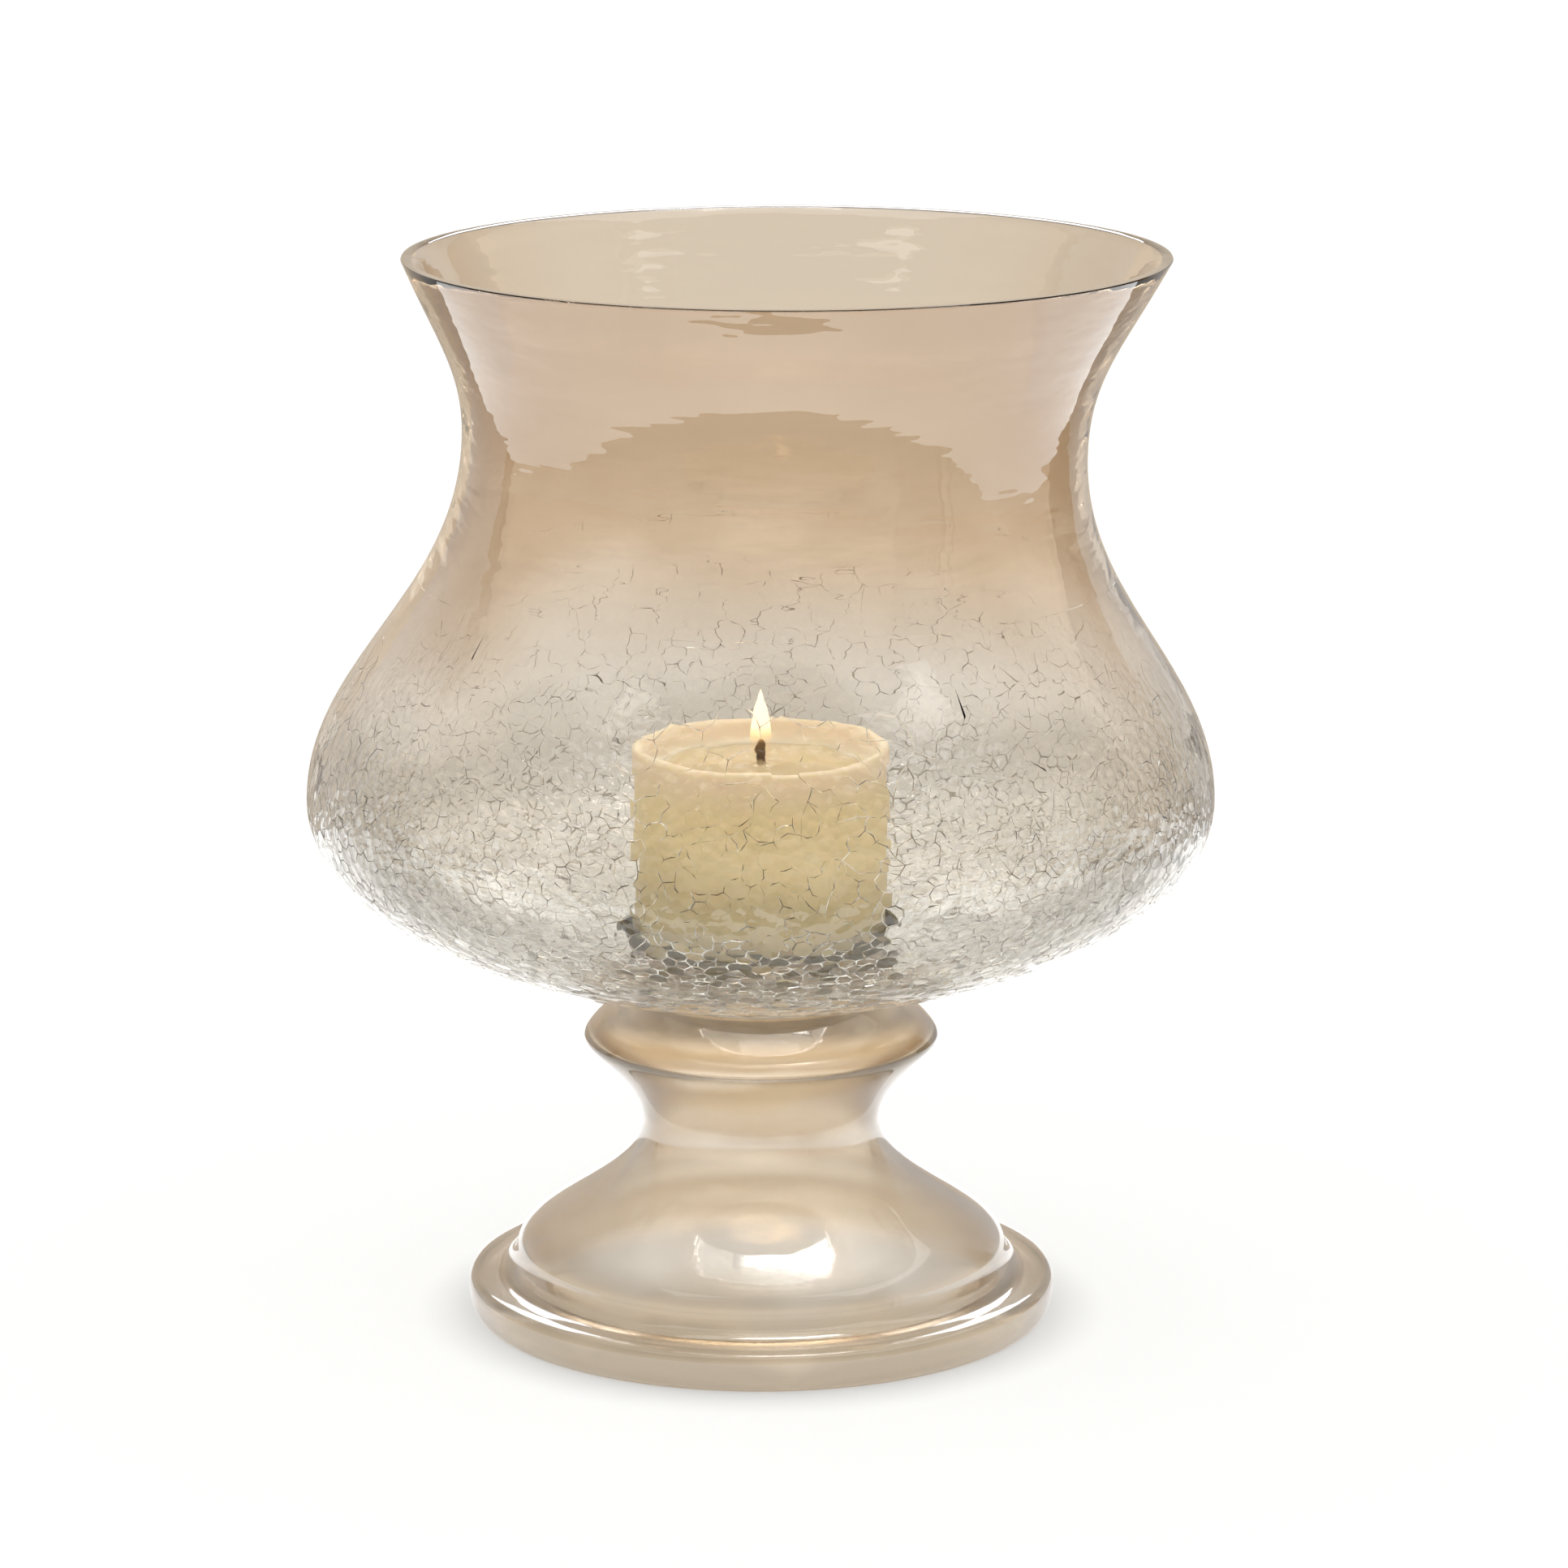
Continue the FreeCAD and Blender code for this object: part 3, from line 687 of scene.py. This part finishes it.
    # Lower down, the crack lines and a faint veil over the lowest bowl turn white and partly diffuse: painted
    # glints and a painted pale sheen.
    veil = add_node(tree, "ShaderNodeMapRange", None, {0: height, 1: 0.120, 2: 0.135, 3: 0.03, 4: 0.0})
    lines = add_node(tree, "ShaderNodeMath", {"operation": "SUBTRACT"},
                     {0: broken.outputs[0], 1: dark.outputs[0]})
    white = add_node(tree, "ShaderNodeMath", {"operation": "MAXIMUM"},
                     {0: lines.outputs[0], 1: veil.outputs[0]})
    painted_glint_flecked = add_node(tree, "ShaderNodeMix", {"data_type": "RGBA"},
                       {0: white.outputs[0], 6: deep.outputs[2], 7: linear("#F4F2EC")})
    clear = add_node(tree, "ShaderNodeMath", {"operation": "SUBTRACT"}, {0: 1.0, 1: white.outputs[0]})
    lustre = add_node(tree, "ShaderNodeMapRange", None, {0: height, 1: 0.118, 2: 0.150, 3: 0.35, 4: 1.0})
    whole = add_node(tree, "ShaderNodeMath", {"operation": "SUBTRACT"}, {0: 1.0, 1: dark.outputs[0]})
    sheen = add_node(tree, "ShaderNodeMath", {"operation": "MULTIPLY"},
                     {0: lustre.outputs[0], 1: whole.outputs[0]})
    glass = add_node(tree, "ShaderNodeBsdfPrincipled", None, {
        "Base Color": painted_glint_flecked.outputs[2], "Roughness": 0.02, "IOR": GLASS_IOR,
        "Transmission Weight": clear.outputs[0], "Normal": bump.outputs[0], "Coat Weight": sheen.outputs[0],
        "Coat IOR": LUSTRE_IOR, "Coat Roughness": 0.02, "Coat Normal": glint.outputs[0]})
    add_node(tree, "ShaderNodeOutputMaterial", None, {"Surface": glass.outputs[0]})
    return material


def pedestal_glass():
    """The same blown glass, no crackle: amber lustre, faint swirls, darker where thick, painted shade at the
    waist's sides.
    """
    material, tree = new_material("amber lustre glass")
    coord = add_node(tree, "ShaderNodeTexCoord")
    cloud = add_node(tree, "ShaderNodeTexNoise", None,
                     {"Vector": coord.outputs["Object"], "Scale": 1 / (40 * MM), "Detail": 2.0})
    drift = add_node(tree, "ShaderNodeMapRange", None,
                     {0: cloud.outputs["Fac"], 1: 0.3, 2: 0.7, 3: -0.006, 4: 0.006})
    axes = add_node(tree, "ShaderNodeSeparateXYZ", None, {0: coord.outputs["Object"]})
    cloudy = add_node(tree, "ShaderNodeMath", {"operation": "ADD"},
                      {0: axes.outputs["Z"], 1: drift.outputs[0]})
    share = add_node(tree, "ShaderNodeMapRange", None, {0: cloudy.outputs[0], 1: 0.0, 2: 0.1, 3: 0.0, 4: 1.0})
    # The tint is made lighter and darker by height: painted light on the dome's top and the collar, painted
    # shade at the foot.
    tint = add_node(tree, "ShaderNodeValToRGB", None, {0: share.outputs[0]}, stops=[
        (0.0, linear("#D2C2AB")), (1.0, linear("#FFF3E2")), (0.07, linear("#D2C2AB")),
        (0.12, linear("#EAD8C0")), (0.20, linear("#E2D5C3")), (0.30, linear("#FEF7EE")),
        (0.49, linear("#FFFAF1")), (0.57, linear("#D9C8B2")), (0.66, linear("#DCCAB2")),
        (0.71, linear("#DCC6A3")), (0.78, linear("#DCC6A3")), (0.83, linear("#FFF3E2"))])
    slant = add_node(tree, "ShaderNodeLayerWeight", None, {"Blend": 0.5})
    depth = add_node(tree, "ShaderNodeMapRange", {"interpolation_type": "SMOOTHSTEP"},
                     {0: slant.outputs["Facing"], 1: 0.5, 2: 0.95, 3: 0.0, 4: 1.0})
    edge = add_node(tree, "ShaderNodeMapRange", {"interpolation_type": "SMOOTHSTEP"},
                    {0: slant.outputs["Facing"], 1: 0.47, 2: 0.74, 3: 0.0, 4: 0.75})
    stem = add_node(tree, "ShaderNodeMapRange", None,
                    {0: axes.outputs["Z"], 1: 0.050, 2: 0.058, 3: 0.0, 4: 1.0})
    under = add_node(tree, "ShaderNodeMapRange", None,
                     {0: axes.outputs["Z"], 1: 0.074, 2: 0.081, 3: 1.0, 4: 0.0})
    waist = add_node(tree, "ShaderNodeMath", {"operation": "MULTIPLY"},
                     {0: stem.outputs[0], 1: under.outputs[0]})
    # The waist's sides are darkened further: painted shade.
    waist_edge_shade = add_node(tree, "ShaderNodeMath", {"operation": "MULTIPLY"},
                        {0: edge.outputs[0], 1: waist.outputs[0]})
    thick = add_node(tree, "ShaderNodeMath", {"operation": "MAXIMUM"},
                     {0: depth.outputs[0], 1: waist_edge_shade.outputs[0]})
    deep = add_node(tree, "ShaderNodeMix", {"data_type": "RGBA", "blend_type": "MULTIPLY"},
                    {0: thick.outputs[0], 6: tint.outputs[0], 7: linear("#8A7260")})
    stretch = add_node(tree, "ShaderNodeMapping", None,
                       {"Vector": coord.outputs["Object"], "Scale": (1.0, 1.0, 2.0)})
    ripple = add_node(tree, "ShaderNodeTexNoise", None,
                      {"Vector": stretch.outputs[0], "Scale": 1 / (26 * MM), "Detail": 2.0, "Roughness": 0.45})
    bump = add_node(tree, "ShaderNodeBump", None,
                    {"Strength": 1.0, "Distance": 0.00015, "Height": ripple.outputs["Fac"]})
    glass = add_node(tree, "ShaderNodeBsdfPrincipled", None, {
        "Base Color": deep.outputs[2], "Roughness": 0.22, "IOR": GLASS_IOR, "Transmission Weight": 1.0,
        "Normal": bump.outputs[0], "Coat Weight": 1.0, "Coat IOR": LUSTRE_IOR, "Coat Roughness": 0.02,
        "Coat Normal": bump.outputs[0]})
    add_node(tree, "ShaderNodeOutputMaterial", None, {"Surface": glass.outputs[0]})
    return material


def candle_wax():
    """Ivory paraffin wax: light soaks in and spreads, a little glossy, mottled and dimpled by casting, its top
    painted paler as flame light.
    """
    material, tree = new_material("ivory paraffin wax")
    coord = add_node(tree, "ShaderNodeTexCoord")
    mottle = add_node(tree, "ShaderNodeTexNoise", None,
                      {"Vector": coord.outputs["Object"], "Scale": 1 / (12 * MM), "Detail": 3.0})
    tone = add_node(tree, "ShaderNodeValToRGB", None, {0: mottle.outputs["Fac"]},
                    stops=[(0.3, linear("#E2D1A0")), (0.7, linear("#EADBB0"))])
    axes = add_node(tree, "ShaderNodeSeparateXYZ", None, {0: coord.outputs["Object"]})
    # The wax is paler towards the top: painted light from the flame.
    melted = add_node(tree, "ShaderNodeMapRange", {"interpolation_type": "SMOOTHSTEP"},
                      {0: axes.outputs["Z"], 1: 0.148, 2: 0.162, 3: 0.0, 4: 1.0})
    ivory = add_node(tree, "ShaderNodeMix", {"data_type": "RGBA"},
                     {0: melted.outputs[0], 6: tone.outputs[0], 7: linear("#E8DDC3")})
    dimple = add_node(tree, "ShaderNodeTexNoise", None,
                      {"Vector": coord.outputs["Object"], "Scale": 1 / (4 * MM), "Detail": 2.0})
    bump = add_node(tree, "ShaderNodeBump", None,
                    {"Strength": 0.6, "Distance": 0.0003, "Height": dimple.outputs["Fac"]})
    wax = add_node(tree, "ShaderNodeBsdfPrincipled", None, {
        "Base Color": ivory.outputs[2], "Roughness": 0.42, "IOR": 1.44, "Subsurface Weight": 0.6,
        "Subsurface Radius": (1.0, 0.6, 0.3), "Subsurface Scale": 0.006, "Normal": bump.outputs[0]})
    add_node(tree, "ShaderNodeOutputMaterial", None, {"Surface": wax.outputs[0]})
    return material


def liquid_wax():
    """Melted wax: clear yellow, wet and mirror smooth, with slow ripples."""
    material, tree = new_material("melted paraffin wax")
    coord = add_node(tree, "ShaderNodeTexCoord")
    swirl = add_node(tree, "ShaderNodeTexNoise", None,
                     {"Vector": coord.outputs["Object"], "Scale": 1 / (10 * MM), "Detail": 1.0})
    tone = add_node(tree, "ShaderNodeValToRGB", None, {0: swirl.outputs["Fac"]},
                    stops=[(0.3, linear("#DECBA1")), (0.7, linear("#E2D0AE"))])
    bump = add_node(tree, "ShaderNodeBump", None,
                    {"Strength": 0.4, "Distance": 0.0004, "Height": swirl.outputs["Fac"]})
    wax = add_node(tree, "ShaderNodeBsdfPrincipled", None, {
        "Base Color": tone.outputs[0], "Roughness": 0.06, "IOR": 1.43, "Subsurface Weight": 0.5,
        "Subsurface Radius": (1.0, 0.7, 0.35), "Subsurface Scale": 0.005, "Normal": bump.outputs[0]})
    add_node(tree, "ShaderNodeOutputMaterial", None, {"Surface": wax.outputs[0]})
    return material


def charred_cotton():
    """Braided cotton: pale and waxed below, burnt to a rough matt black at the top."""
    material, tree = new_material("charred cotton wick")
    coord = add_node(tree, "ShaderNodeTexCoord")
    axes = add_node(tree, "ShaderNodeSeparateXYZ", None, {0: coord.outputs["Object"]})
    # The fibres are drawn coarser than real cotton's, so that they show.
    fibre = add_node(tree, "ShaderNodeTexNoise", None,
                     {"Vector": coord.outputs["Object"], "Scale": 1 / (0.6 * MM), "Detail": 3.0})
    burnt = add_node(tree, "ShaderNodeMapRange", None,
                     {0: axes.outputs["Z"], 1: 0.1572, 2: 0.1592, 3: 0.0, 4: 1.0})
    waxed = add_node(tree, "ShaderNodeValToRGB", None, {0: fibre.outputs["Fac"]},
                     stops=[(0.3, linear("#C9B58C")), (0.7, linear("#DDCBA4"))])
    char = add_node(tree, "ShaderNodeValToRGB", None, {0: fibre.outputs["Fac"]},
                    stops=[(0.3, linear("#120D0A")), (0.7, linear("#3A2A1E"))])
    tone = add_node(tree, "ShaderNodeMix", {"data_type": "RGBA"},
                    {0: burnt.outputs[0], 6: waxed.outputs[0], 7: char.outputs[0]})
    bump = add_node(tree, "ShaderNodeBump", None,
                    {"Strength": 0.8, "Distance": 0.0002, "Height": fibre.outputs["Fac"]})
    cotton = add_node(tree, "ShaderNodeBsdfPrincipled", None, {
        "Base Color": tone.outputs[2], "Roughness": 0.9, "Normal": bump.outputs[0]})
    add_node(tree, "ShaderNodeOutputMaterial", None, {"Surface": cotton.outputs[0]})
    return material


def flame_glow():
    """A candle flame: nearly clear round the wick, warm yellow above it, and white hot to the tip."""
    material, tree = new_material("candle flame glow")
    coord = add_node(tree, "ShaderNodeTexCoord")
    axes = add_node(tree, "ShaderNodeSeparateXYZ", None, {0: coord.outputs["Object"]})
    rise = add_node(tree, "ShaderNodeMapRange", None,
                    {0: axes.outputs["Z"], 1: 0.1584, 2: 0.1788, 3: 0.0, 4: 1.0})
    glow = add_node(tree, "ShaderNodeValToRGB", None, {0: rise.outputs[0]}, stops=[
        (0.0, linear("#6A4A2A")), (1.0, linear("#FFF0CC")), (0.28, linear("#F2B45E")),
        (0.48, linear("#FFE9BE"))])
    veil = add_node(tree, "ShaderNodeMapRange", None,
                    {0: rise.outputs[0], 1: 0.28, 2: 0.52, 3: 0.04, 4: 0.95})
    flame = add_node(tree, "ShaderNodeBsdfPrincipled", None, {
        "Base Color": (0.0, 0.0, 0.0, 1.0), "Roughness": 1.0, "Specular IOR Level": 0.0,
        "Emission Color": glow.outputs[0], "Emission Strength": 2.2, "Alpha": veil.outputs[0]})
    add_node(tree, "ShaderNodeOutputMaterial", None, {"Surface": flame.outputs[0]})
    return material


def plate_lacquer():
    """Pressed steel, dark bronze lacquer on top and a pale grey underside painted as light: nearly matt, a
    little mottled.
    """
    material, tree = new_material("dark bronze lacquered steel")
    coord = add_node(tree, "ShaderNodeTexCoord")
    mottle = add_node(tree, "ShaderNodeTexNoise", None,
                      {"Vector": coord.outputs["Object"], "Scale": 1 / (6 * MM), "Detail": 4.0})
    tone = add_node(tree, "ShaderNodeValToRGB", None, {0: mottle.outputs["Fac"]},
                    stops=[(0.3, linear("#4E420C")), (0.7, linear("#665920"))])
    shape = add_node(tree, "ShaderNodeNewGeometry")
    ways = add_node(tree, "ShaderNodeSeparateXYZ", None, {0: shape.outputs["True Normal"]})
    # The underside is a pale grey: painted light where shade falls under the plate.
    under = add_node(tree, "ShaderNodeMapRange", None,
                     {0: ways.outputs["Z"], 1: -0.995, 2: -0.97, 3: 1.0, 4: 0.0})
    lacquer_and_painted_light_underside = add_node(tree, "ShaderNodeMix", {"data_type": "RGBA"},
                    {0: under.outputs[0], 6: tone.outputs[0], 7: linear("#BDB5A6")})
    rough = add_node(tree, "ShaderNodeMapRange", None,
                     {0: mottle.outputs["Fac"], 1: 0.3, 2: 0.7, 3: 0.45, 4: 0.65})
    # The lacquer's grain is drawn coarser than real, so that it shows.
    grain = add_node(tree, "ShaderNodeTexNoise", None,
                     {"Vector": coord.outputs["Object"], "Scale": 1 / (1.2 * MM), "Detail": 2.0})
    bump = add_node(tree, "ShaderNodeBump", None,
                    {"Strength": 0.3, "Distance": 0.0001, "Height": grain.outputs["Fac"]})
    lacquer = add_node(tree, "ShaderNodeBsdfPrincipled", None, {
        "Base Color": lacquer_and_painted_light_underside.outputs[2], "Roughness": rough.outputs[0], "Metallic": 0.0,
        "Specular IOR Level": 0.15, "Normal": bump.outputs[0]})
    add_node(tree, "ShaderNodeOutputMaterial", None, {"Surface": lacquer.outputs[0]})
    return material


def tinplate():
    """Tinned steel sheet: bright, finely rolled."""
    material, tree = new_material("tinned steel sheet")
    coord = add_node(tree, "ShaderNodeTexCoord")
    stretch = add_node(tree, "ShaderNodeMapping", None,
                       {"Vector": coord.outputs["Object"], "Scale": (1.0, 8.0, 1.0)})
    # The rolling lines are drawn coarser than real ones, so that they show.
    rolled = add_node(tree, "ShaderNodeTexNoise", None,
                      {"Vector": stretch.outputs[0], "Scale": 1 / (3 * MM), "Detail": 3.0})
    tone = add_node(tree, "ShaderNodeValToRGB", None, {0: rolled.outputs["Fac"]},
                    stops=[(0.3, linear("#B4B4B2")), (0.7, linear("#CFCFCD"))])
    rough = add_node(tree, "ShaderNodeMapRange", None,
                     {0: rolled.outputs["Fac"], 1: 0.3, 2: 0.7, 3: 0.22, 4: 0.4})
    tin = add_node(tree, "ShaderNodeBsdfPrincipled", None, {
        "Base Color": tone.outputs[0], "Roughness": rough.outputs[0], "Metallic": 1.0})
    add_node(tree, "ShaderNodeOutputMaterial", None, {"Surface": tin.outputs[0]})
    return material


def cured_adhesive():
    """Clear cured adhesive: colourless, glassy, with faint flow marks."""
    material, tree = new_material("cured clear adhesive")
    coord = add_node(tree, "ShaderNodeTexCoord")
    flow = add_node(tree, "ShaderNodeTexNoise", None,
                    {"Vector": coord.outputs["Object"], "Scale": 1 / (5 * MM), "Detail": 2.0})
    tone = add_node(tree, "ShaderNodeValToRGB", None, {0: flow.outputs["Fac"]},
                    stops=[(0.3, linear("#F2F1EC")), (0.7, linear("#FBFAF7"))])
    glue = add_node(tree, "ShaderNodeBsdfPrincipled", None, {
        "Base Color": tone.outputs[0], "Roughness": 0.05, "IOR": 1.5, "Alpha": 0.15})
    add_node(tree, "ShaderNodeOutputMaterial", None, {"Surface": glue.outputs[0]})
    return material


def stage_plane(name, corners, colour, glow):
    """A flat stage surface between its corners, in metres, with a glow of its own."""
    mesh = bpy.data.meshes.new(name)
    mesh.from_pydata(corners, [], [tuple(range(len(corners)))])
    plane = bpy.data.objects.new(name, mesh)
    bpy.context.collection.objects.link(plane)
    material, tree = new_material(name)
    surface = add_node(tree, "ShaderNodeBsdfPrincipled", None, {
        "Base Color": linear(colour), "Roughness": 0.9, "Specular IOR Level": 0.0,
        "Emission Color": linear(colour), "Emission Strength": glow})
    add_node(tree, "ShaderNodeOutputMaterial", None, {"Surface": surface.outputs[0]})
    mesh.materials.append(material)
    return plane


def mirrored_card(name, corners, colour, glow):
    """A light card that only gloss and glass show."""
    card = stage_plane(name, corners, colour, glow)
    card.visible_camera = False
    card.visible_diffuse = False
    card.visible_shadow = False
    return card


def shape_glow(card, rows):
    """Lets a card's glow follow the product of ramps over the distance from a point or a line.

    Each row gives the centre, the ways that count, where the ramp starts and ends, and its two levels.
    """
    tree = card.data.materials[0].node_tree
    shader = next(node for node in tree.nodes if node.type == "BSDF_PRINCIPLED")
    coord = add_node(tree, "ShaderNodeTexCoord")
    glow = shader.inputs["Emission Strength"].default_value
    for centre, stretch, near, far, first, last in rows:
        flat = add_node(tree, "ShaderNodeMapping", None,
                        {"Vector": coord.outputs["Object"], "Scale": stretch})
        reach = add_node(tree, "ShaderNodeVectorMath", {"operation": "DISTANCE"},
                         {0: flat.outputs[0], 1: centre})
        ramp = add_node(tree, "ShaderNodeMapRange", {"interpolation_type": "SMOOTHSTEP"},
                        {0: reach.outputs["Value"], 1: near, 2: far, 3: first, 4: last})
        glow = add_node(tree, "ShaderNodeMath", {"operation": "MULTIPLY"},
                        {0: glow, 1: ramp.outputs[0]}).outputs[0]
    tree.links.new(glow, shader.inputs["Emission Strength"])


def rectangle(left, near, right, far, height):
    """The corners of a level rectangle."""
    return [(left, near, height), (right, near, height), (right, far, height), (left, far, height)]


def set_stage():
    """A pale floor with a painted shadow under the foot, and the light cards overhead and behind that the
    glass mirrors.
    """
    floor = stage_plane("studio_floor", rectangle(-7, -7, 7, 7, -0.0004), "#787877", 3.9)
    floor.visible_glossy = False
    # The floor's glow drops under the foot: a painted shadow.
    shape_glow(floor, [((0.0, 0.0, 0.0), (1.0, 1.0, 0.0), 0.078, 0.100, 0.72, 1.0)])
    table = mirrored_card("mirrored_table", rectangle(-1.55, -0.27, 1.7, 0.47, -0.0002), "#FFFFFF", 0.33)
    table.visible_transmission = False
    shape_glow(table, [((0.0, 0.0, 0.0), (1.0, 1.0, 0.0), 0.13, 0.19, 0.0, 1.0),
                       ((0.0, 0.0, 0.0), (1.0, 1.0, 0.0), 0.34, 0.5, 1.0, 0.0),
                       ((0.0, 0.0, 0.0), (1.0, 0.0, 0.0), 0.03, 0.2, 1.0, 0.3)])
    softbox = mirrored_card("softbox", rectangle(-0.22, 0.1, 0.65, 0.5, 1.9), "#F7FAFF", 16.0)
    shape_glow(softbox, [((0.215, 0.0, 0.0), (1.0, 0.0, 0.0), 0.26, 0.42, 1.0, 0.0),
                         ((0.0, 0.3, 0.0), (0.0, 1.0, 0.0), 0.12, 0.19, 1.0, 0.0)])
    mirrored_card("front_softbox", rectangle(-0.3, -0.45, 0.5, -0.1, 1.9), "#FBFAF7", 3.0)
    halo = mirrored_card("softbox_halo", rectangle(-1.2, -1.0, 1.6, 1.5, 1.91), "#FBFAF7", 2.2)
    shape_glow(halo, [((0.2, 0.25, 0.0), (1.0, 1.0, 0.0), 0.2, 1.15, 1.0, 0.0)])
    mirrored_card("back_light", [(-0.9, 2.6, 1.25), (0.9, 2.6, 1.25), (0.9, 2.6, 3.4), (-0.9, 2.6, 3.4)],
                  "#F7FAFF", 4.0)


def panel(degrees):
    """Where a direction lies on the panels' ramp: 0 degrees is towards the camera, 90 to the right."""
    return (degrees + 180) / 360


def grey(level):
    """A linear grey."""
    return (level, level, level, 1.0)


def set_world():
    """Soft white light all round, and toned panels that only reflections show."""
    world = bpy.data.worlds.new("studio")
    world.use_nodes = True
    bpy.context.scene.world = world
    tree = world.node_tree
    tree.nodes.clear()
    coord = add_node(tree, "ShaderNodeTexCoord")
    axes = add_node(tree, "ShaderNodeSeparateXYZ", None, {0: coord.outputs["Generated"]})
    facing = add_node(tree, "ShaderNodeMath", {"operation": "MULTIPLY"}, {0: axes.outputs["Y"], 1: -1.0})
    around = add_node(tree, "ShaderNodeMath", {"operation": "ARCTAN2"},
                      {0: axes.outputs["X"], 1: facing.outputs[0]})
    turn = add_node(tree, "ShaderNodeMapRange", None,
                    {0: around.outputs[0], 1: -math.pi, 2: math.pi, 3: 0.0, 4: 1.0})
    panels = add_node(tree, "ShaderNodeValToRGB", None, {0: turn.outputs[0]}, stops=[
        (0.0, linear("#958A7C")), (1.0, linear("#958A7C")), (panel(-150), linear("#8F8A86")),
        (panel(-118), linear("#6A563F")), (panel(-112), linear("#AD9C88")), (panel(-21), linear("#B8A791")),
        (panel(45), linear("#A3917B")), (panel(61), linear("#7E6A54")), (panel(63), linear("#B5A48E")),
        (panel(65.5), linear("#94816A")), (panel(67), linear("#AE9D88")), (panel(119), linear("#6A563F")),
        (panel(137), linear("#8A8580")), (panel(165), linear("#958A7C"))])
    panels.color_ramp.interpolation = "CONSTANT"
    rise = add_node(tree, "ShaderNodeMapRange", {"interpolation_type": "SMOOTHSTEP"},
                    {0: axes.outputs["Z"], 1: 0.55, 2: 0.8, 3: 0.0, 4: 1.0})
    level = add_node(tree, "ShaderNodeMapRange", None,
                     {0: axes.outputs["Z"], 1: -1.0, 2: 1.0, 3: 0.0, 4: 1.0})
    tone = add_node(tree, "ShaderNodeValToRGB", None, {0: level.outputs[0]}, stops=[
        (0.15, grey(0.18)), (0.85, grey(0.25)), (0.30, grey(0.4)), (0.45, grey(0.85)), (0.58, grey(1.0)),
        (0.70, grey(0.5))])
    glow = add_node(tree, "ShaderNodeMath", {"operation": "MULTIPLY"}, {0: tone.outputs[0], 1: 2.5})
    shaded = add_node(tree, "ShaderNodeMix", {"data_type": "RGBA", "blend_type": "MULTIPLY"},
                      {0: 1.0, 6: panels.outputs[0], 7: glow.outputs[0]})
    lit = add_node(tree, "ShaderNodeMix", {"data_type": "RGBA"},
                   {0: rise.outputs[0], 6: shaded.outputs[2], 7: linear("#7A746C")})
    path = add_node(tree, "ShaderNodeLightPath")
    mirrored = add_node(tree, "ShaderNodeBackground", None, {"Color": lit.outputs[2], "Strength": 1.0})
    above = add_node(tree, "ShaderNodeMapRange", None,
                     {0: axes.outputs["Z"], 1: 0.0, 2: 1.0, 3: 1.42, 4: 1.85})
    plain = add_node(tree, "ShaderNodeBackground", None, {"Color": grey(1.0), "Strength": above.outputs[0]})
    white = add_node(tree, "ShaderNodeBackground", None, {"Color": grey(1.0), "Strength": 1.1})
    bounced = add_node(tree, "ShaderNodeMath", {"operation": "MINIMUM"},
                       {0: path.outputs["Glossy Depth"], 1: 1.0})
    seen = add_node(tree, "ShaderNodeMixShader", None,
                    {0: bounced.outputs[0], 1: white.outputs[0], 2: mirrored.outputs[0]})
    soaked = add_node(tree, "ShaderNodeMath", {"operation": "MINIMUM"},
                      {0: path.outputs["Diffuse Depth"], 1: 1.0})
    light = add_node(tree, "ShaderNodeMixShader", None,
                     {0: soaked.outputs[0], 1: seen.outputs[0], 2: plain.outputs[0]})
    add_node(tree, "ShaderNodeOutputWorld", None, {"Surface": light.outputs[0]})


# The camera, in metres, with its sensor's width and lens in millimetres.
EYE = (0.0, -1.650, 0.5273)
LOOKED_AT = Vector((0.0065, 0.0, 0.1518))
SENSOR = 36.0
LENS = 138.79
FARTHEST = 30.0
# Light goes through many walls of glass before it reaches the eye.
BOUNCES = 16


def set_camera():
    """The photograph's place and angle: eye 0.53 m up and 1.65 m in front, long lens."""
    bpy.ops.object.camera_add(location=EYE)
    camera = bpy.context.object
    camera.rotation_euler = (LOOKED_AT - camera.location).to_track_quat("-Z", "Y").to_euler()
    camera.data.sensor_width = SENSOR
    camera.data.lens = LENS
    camera.data.clip_end = FARTHEST
    bpy.context.scene.camera = camera


glass_shade = make_glass_shade()
give(glass_shade, crackle_glass())
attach(glass_shade, "glass")
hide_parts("glass_shade")

glass_pedestal = make_glass_pedestal()
give(glass_pedestal, pedestal_glass())
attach(glass_pedestal, "glass")
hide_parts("glass_pedestal")

candle = make_candle()
give(candle, candle_wax())
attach(candle, "candle")
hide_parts("wax_pillar")

pool = make_pool()
give(pool, liquid_wax())
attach(pool, "candle")
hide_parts("melt_pool")

wick = make_wick()
give(wick, charred_cotton())
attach(wick, "candle")
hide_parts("wick")

flame = make_flame()
give(flame, flame_glow())
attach(flame, "candle")

give(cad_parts["candle_plate"], plate_lacquer())
give(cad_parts["wick_tab"], tinplate())
give(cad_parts["bond_ring"], cured_adhesive())

set_stage()
set_world()
set_camera()
bpy.context.scene.view_settings.view_transform = "Standard"
bpy.context.scene.cycles.max_bounces = BOUNCES
bpy.context.scene.cycles.glossy_bounces = BOUNCES
bpy.context.scene.cycles.transmission_bounces = BOUNCES
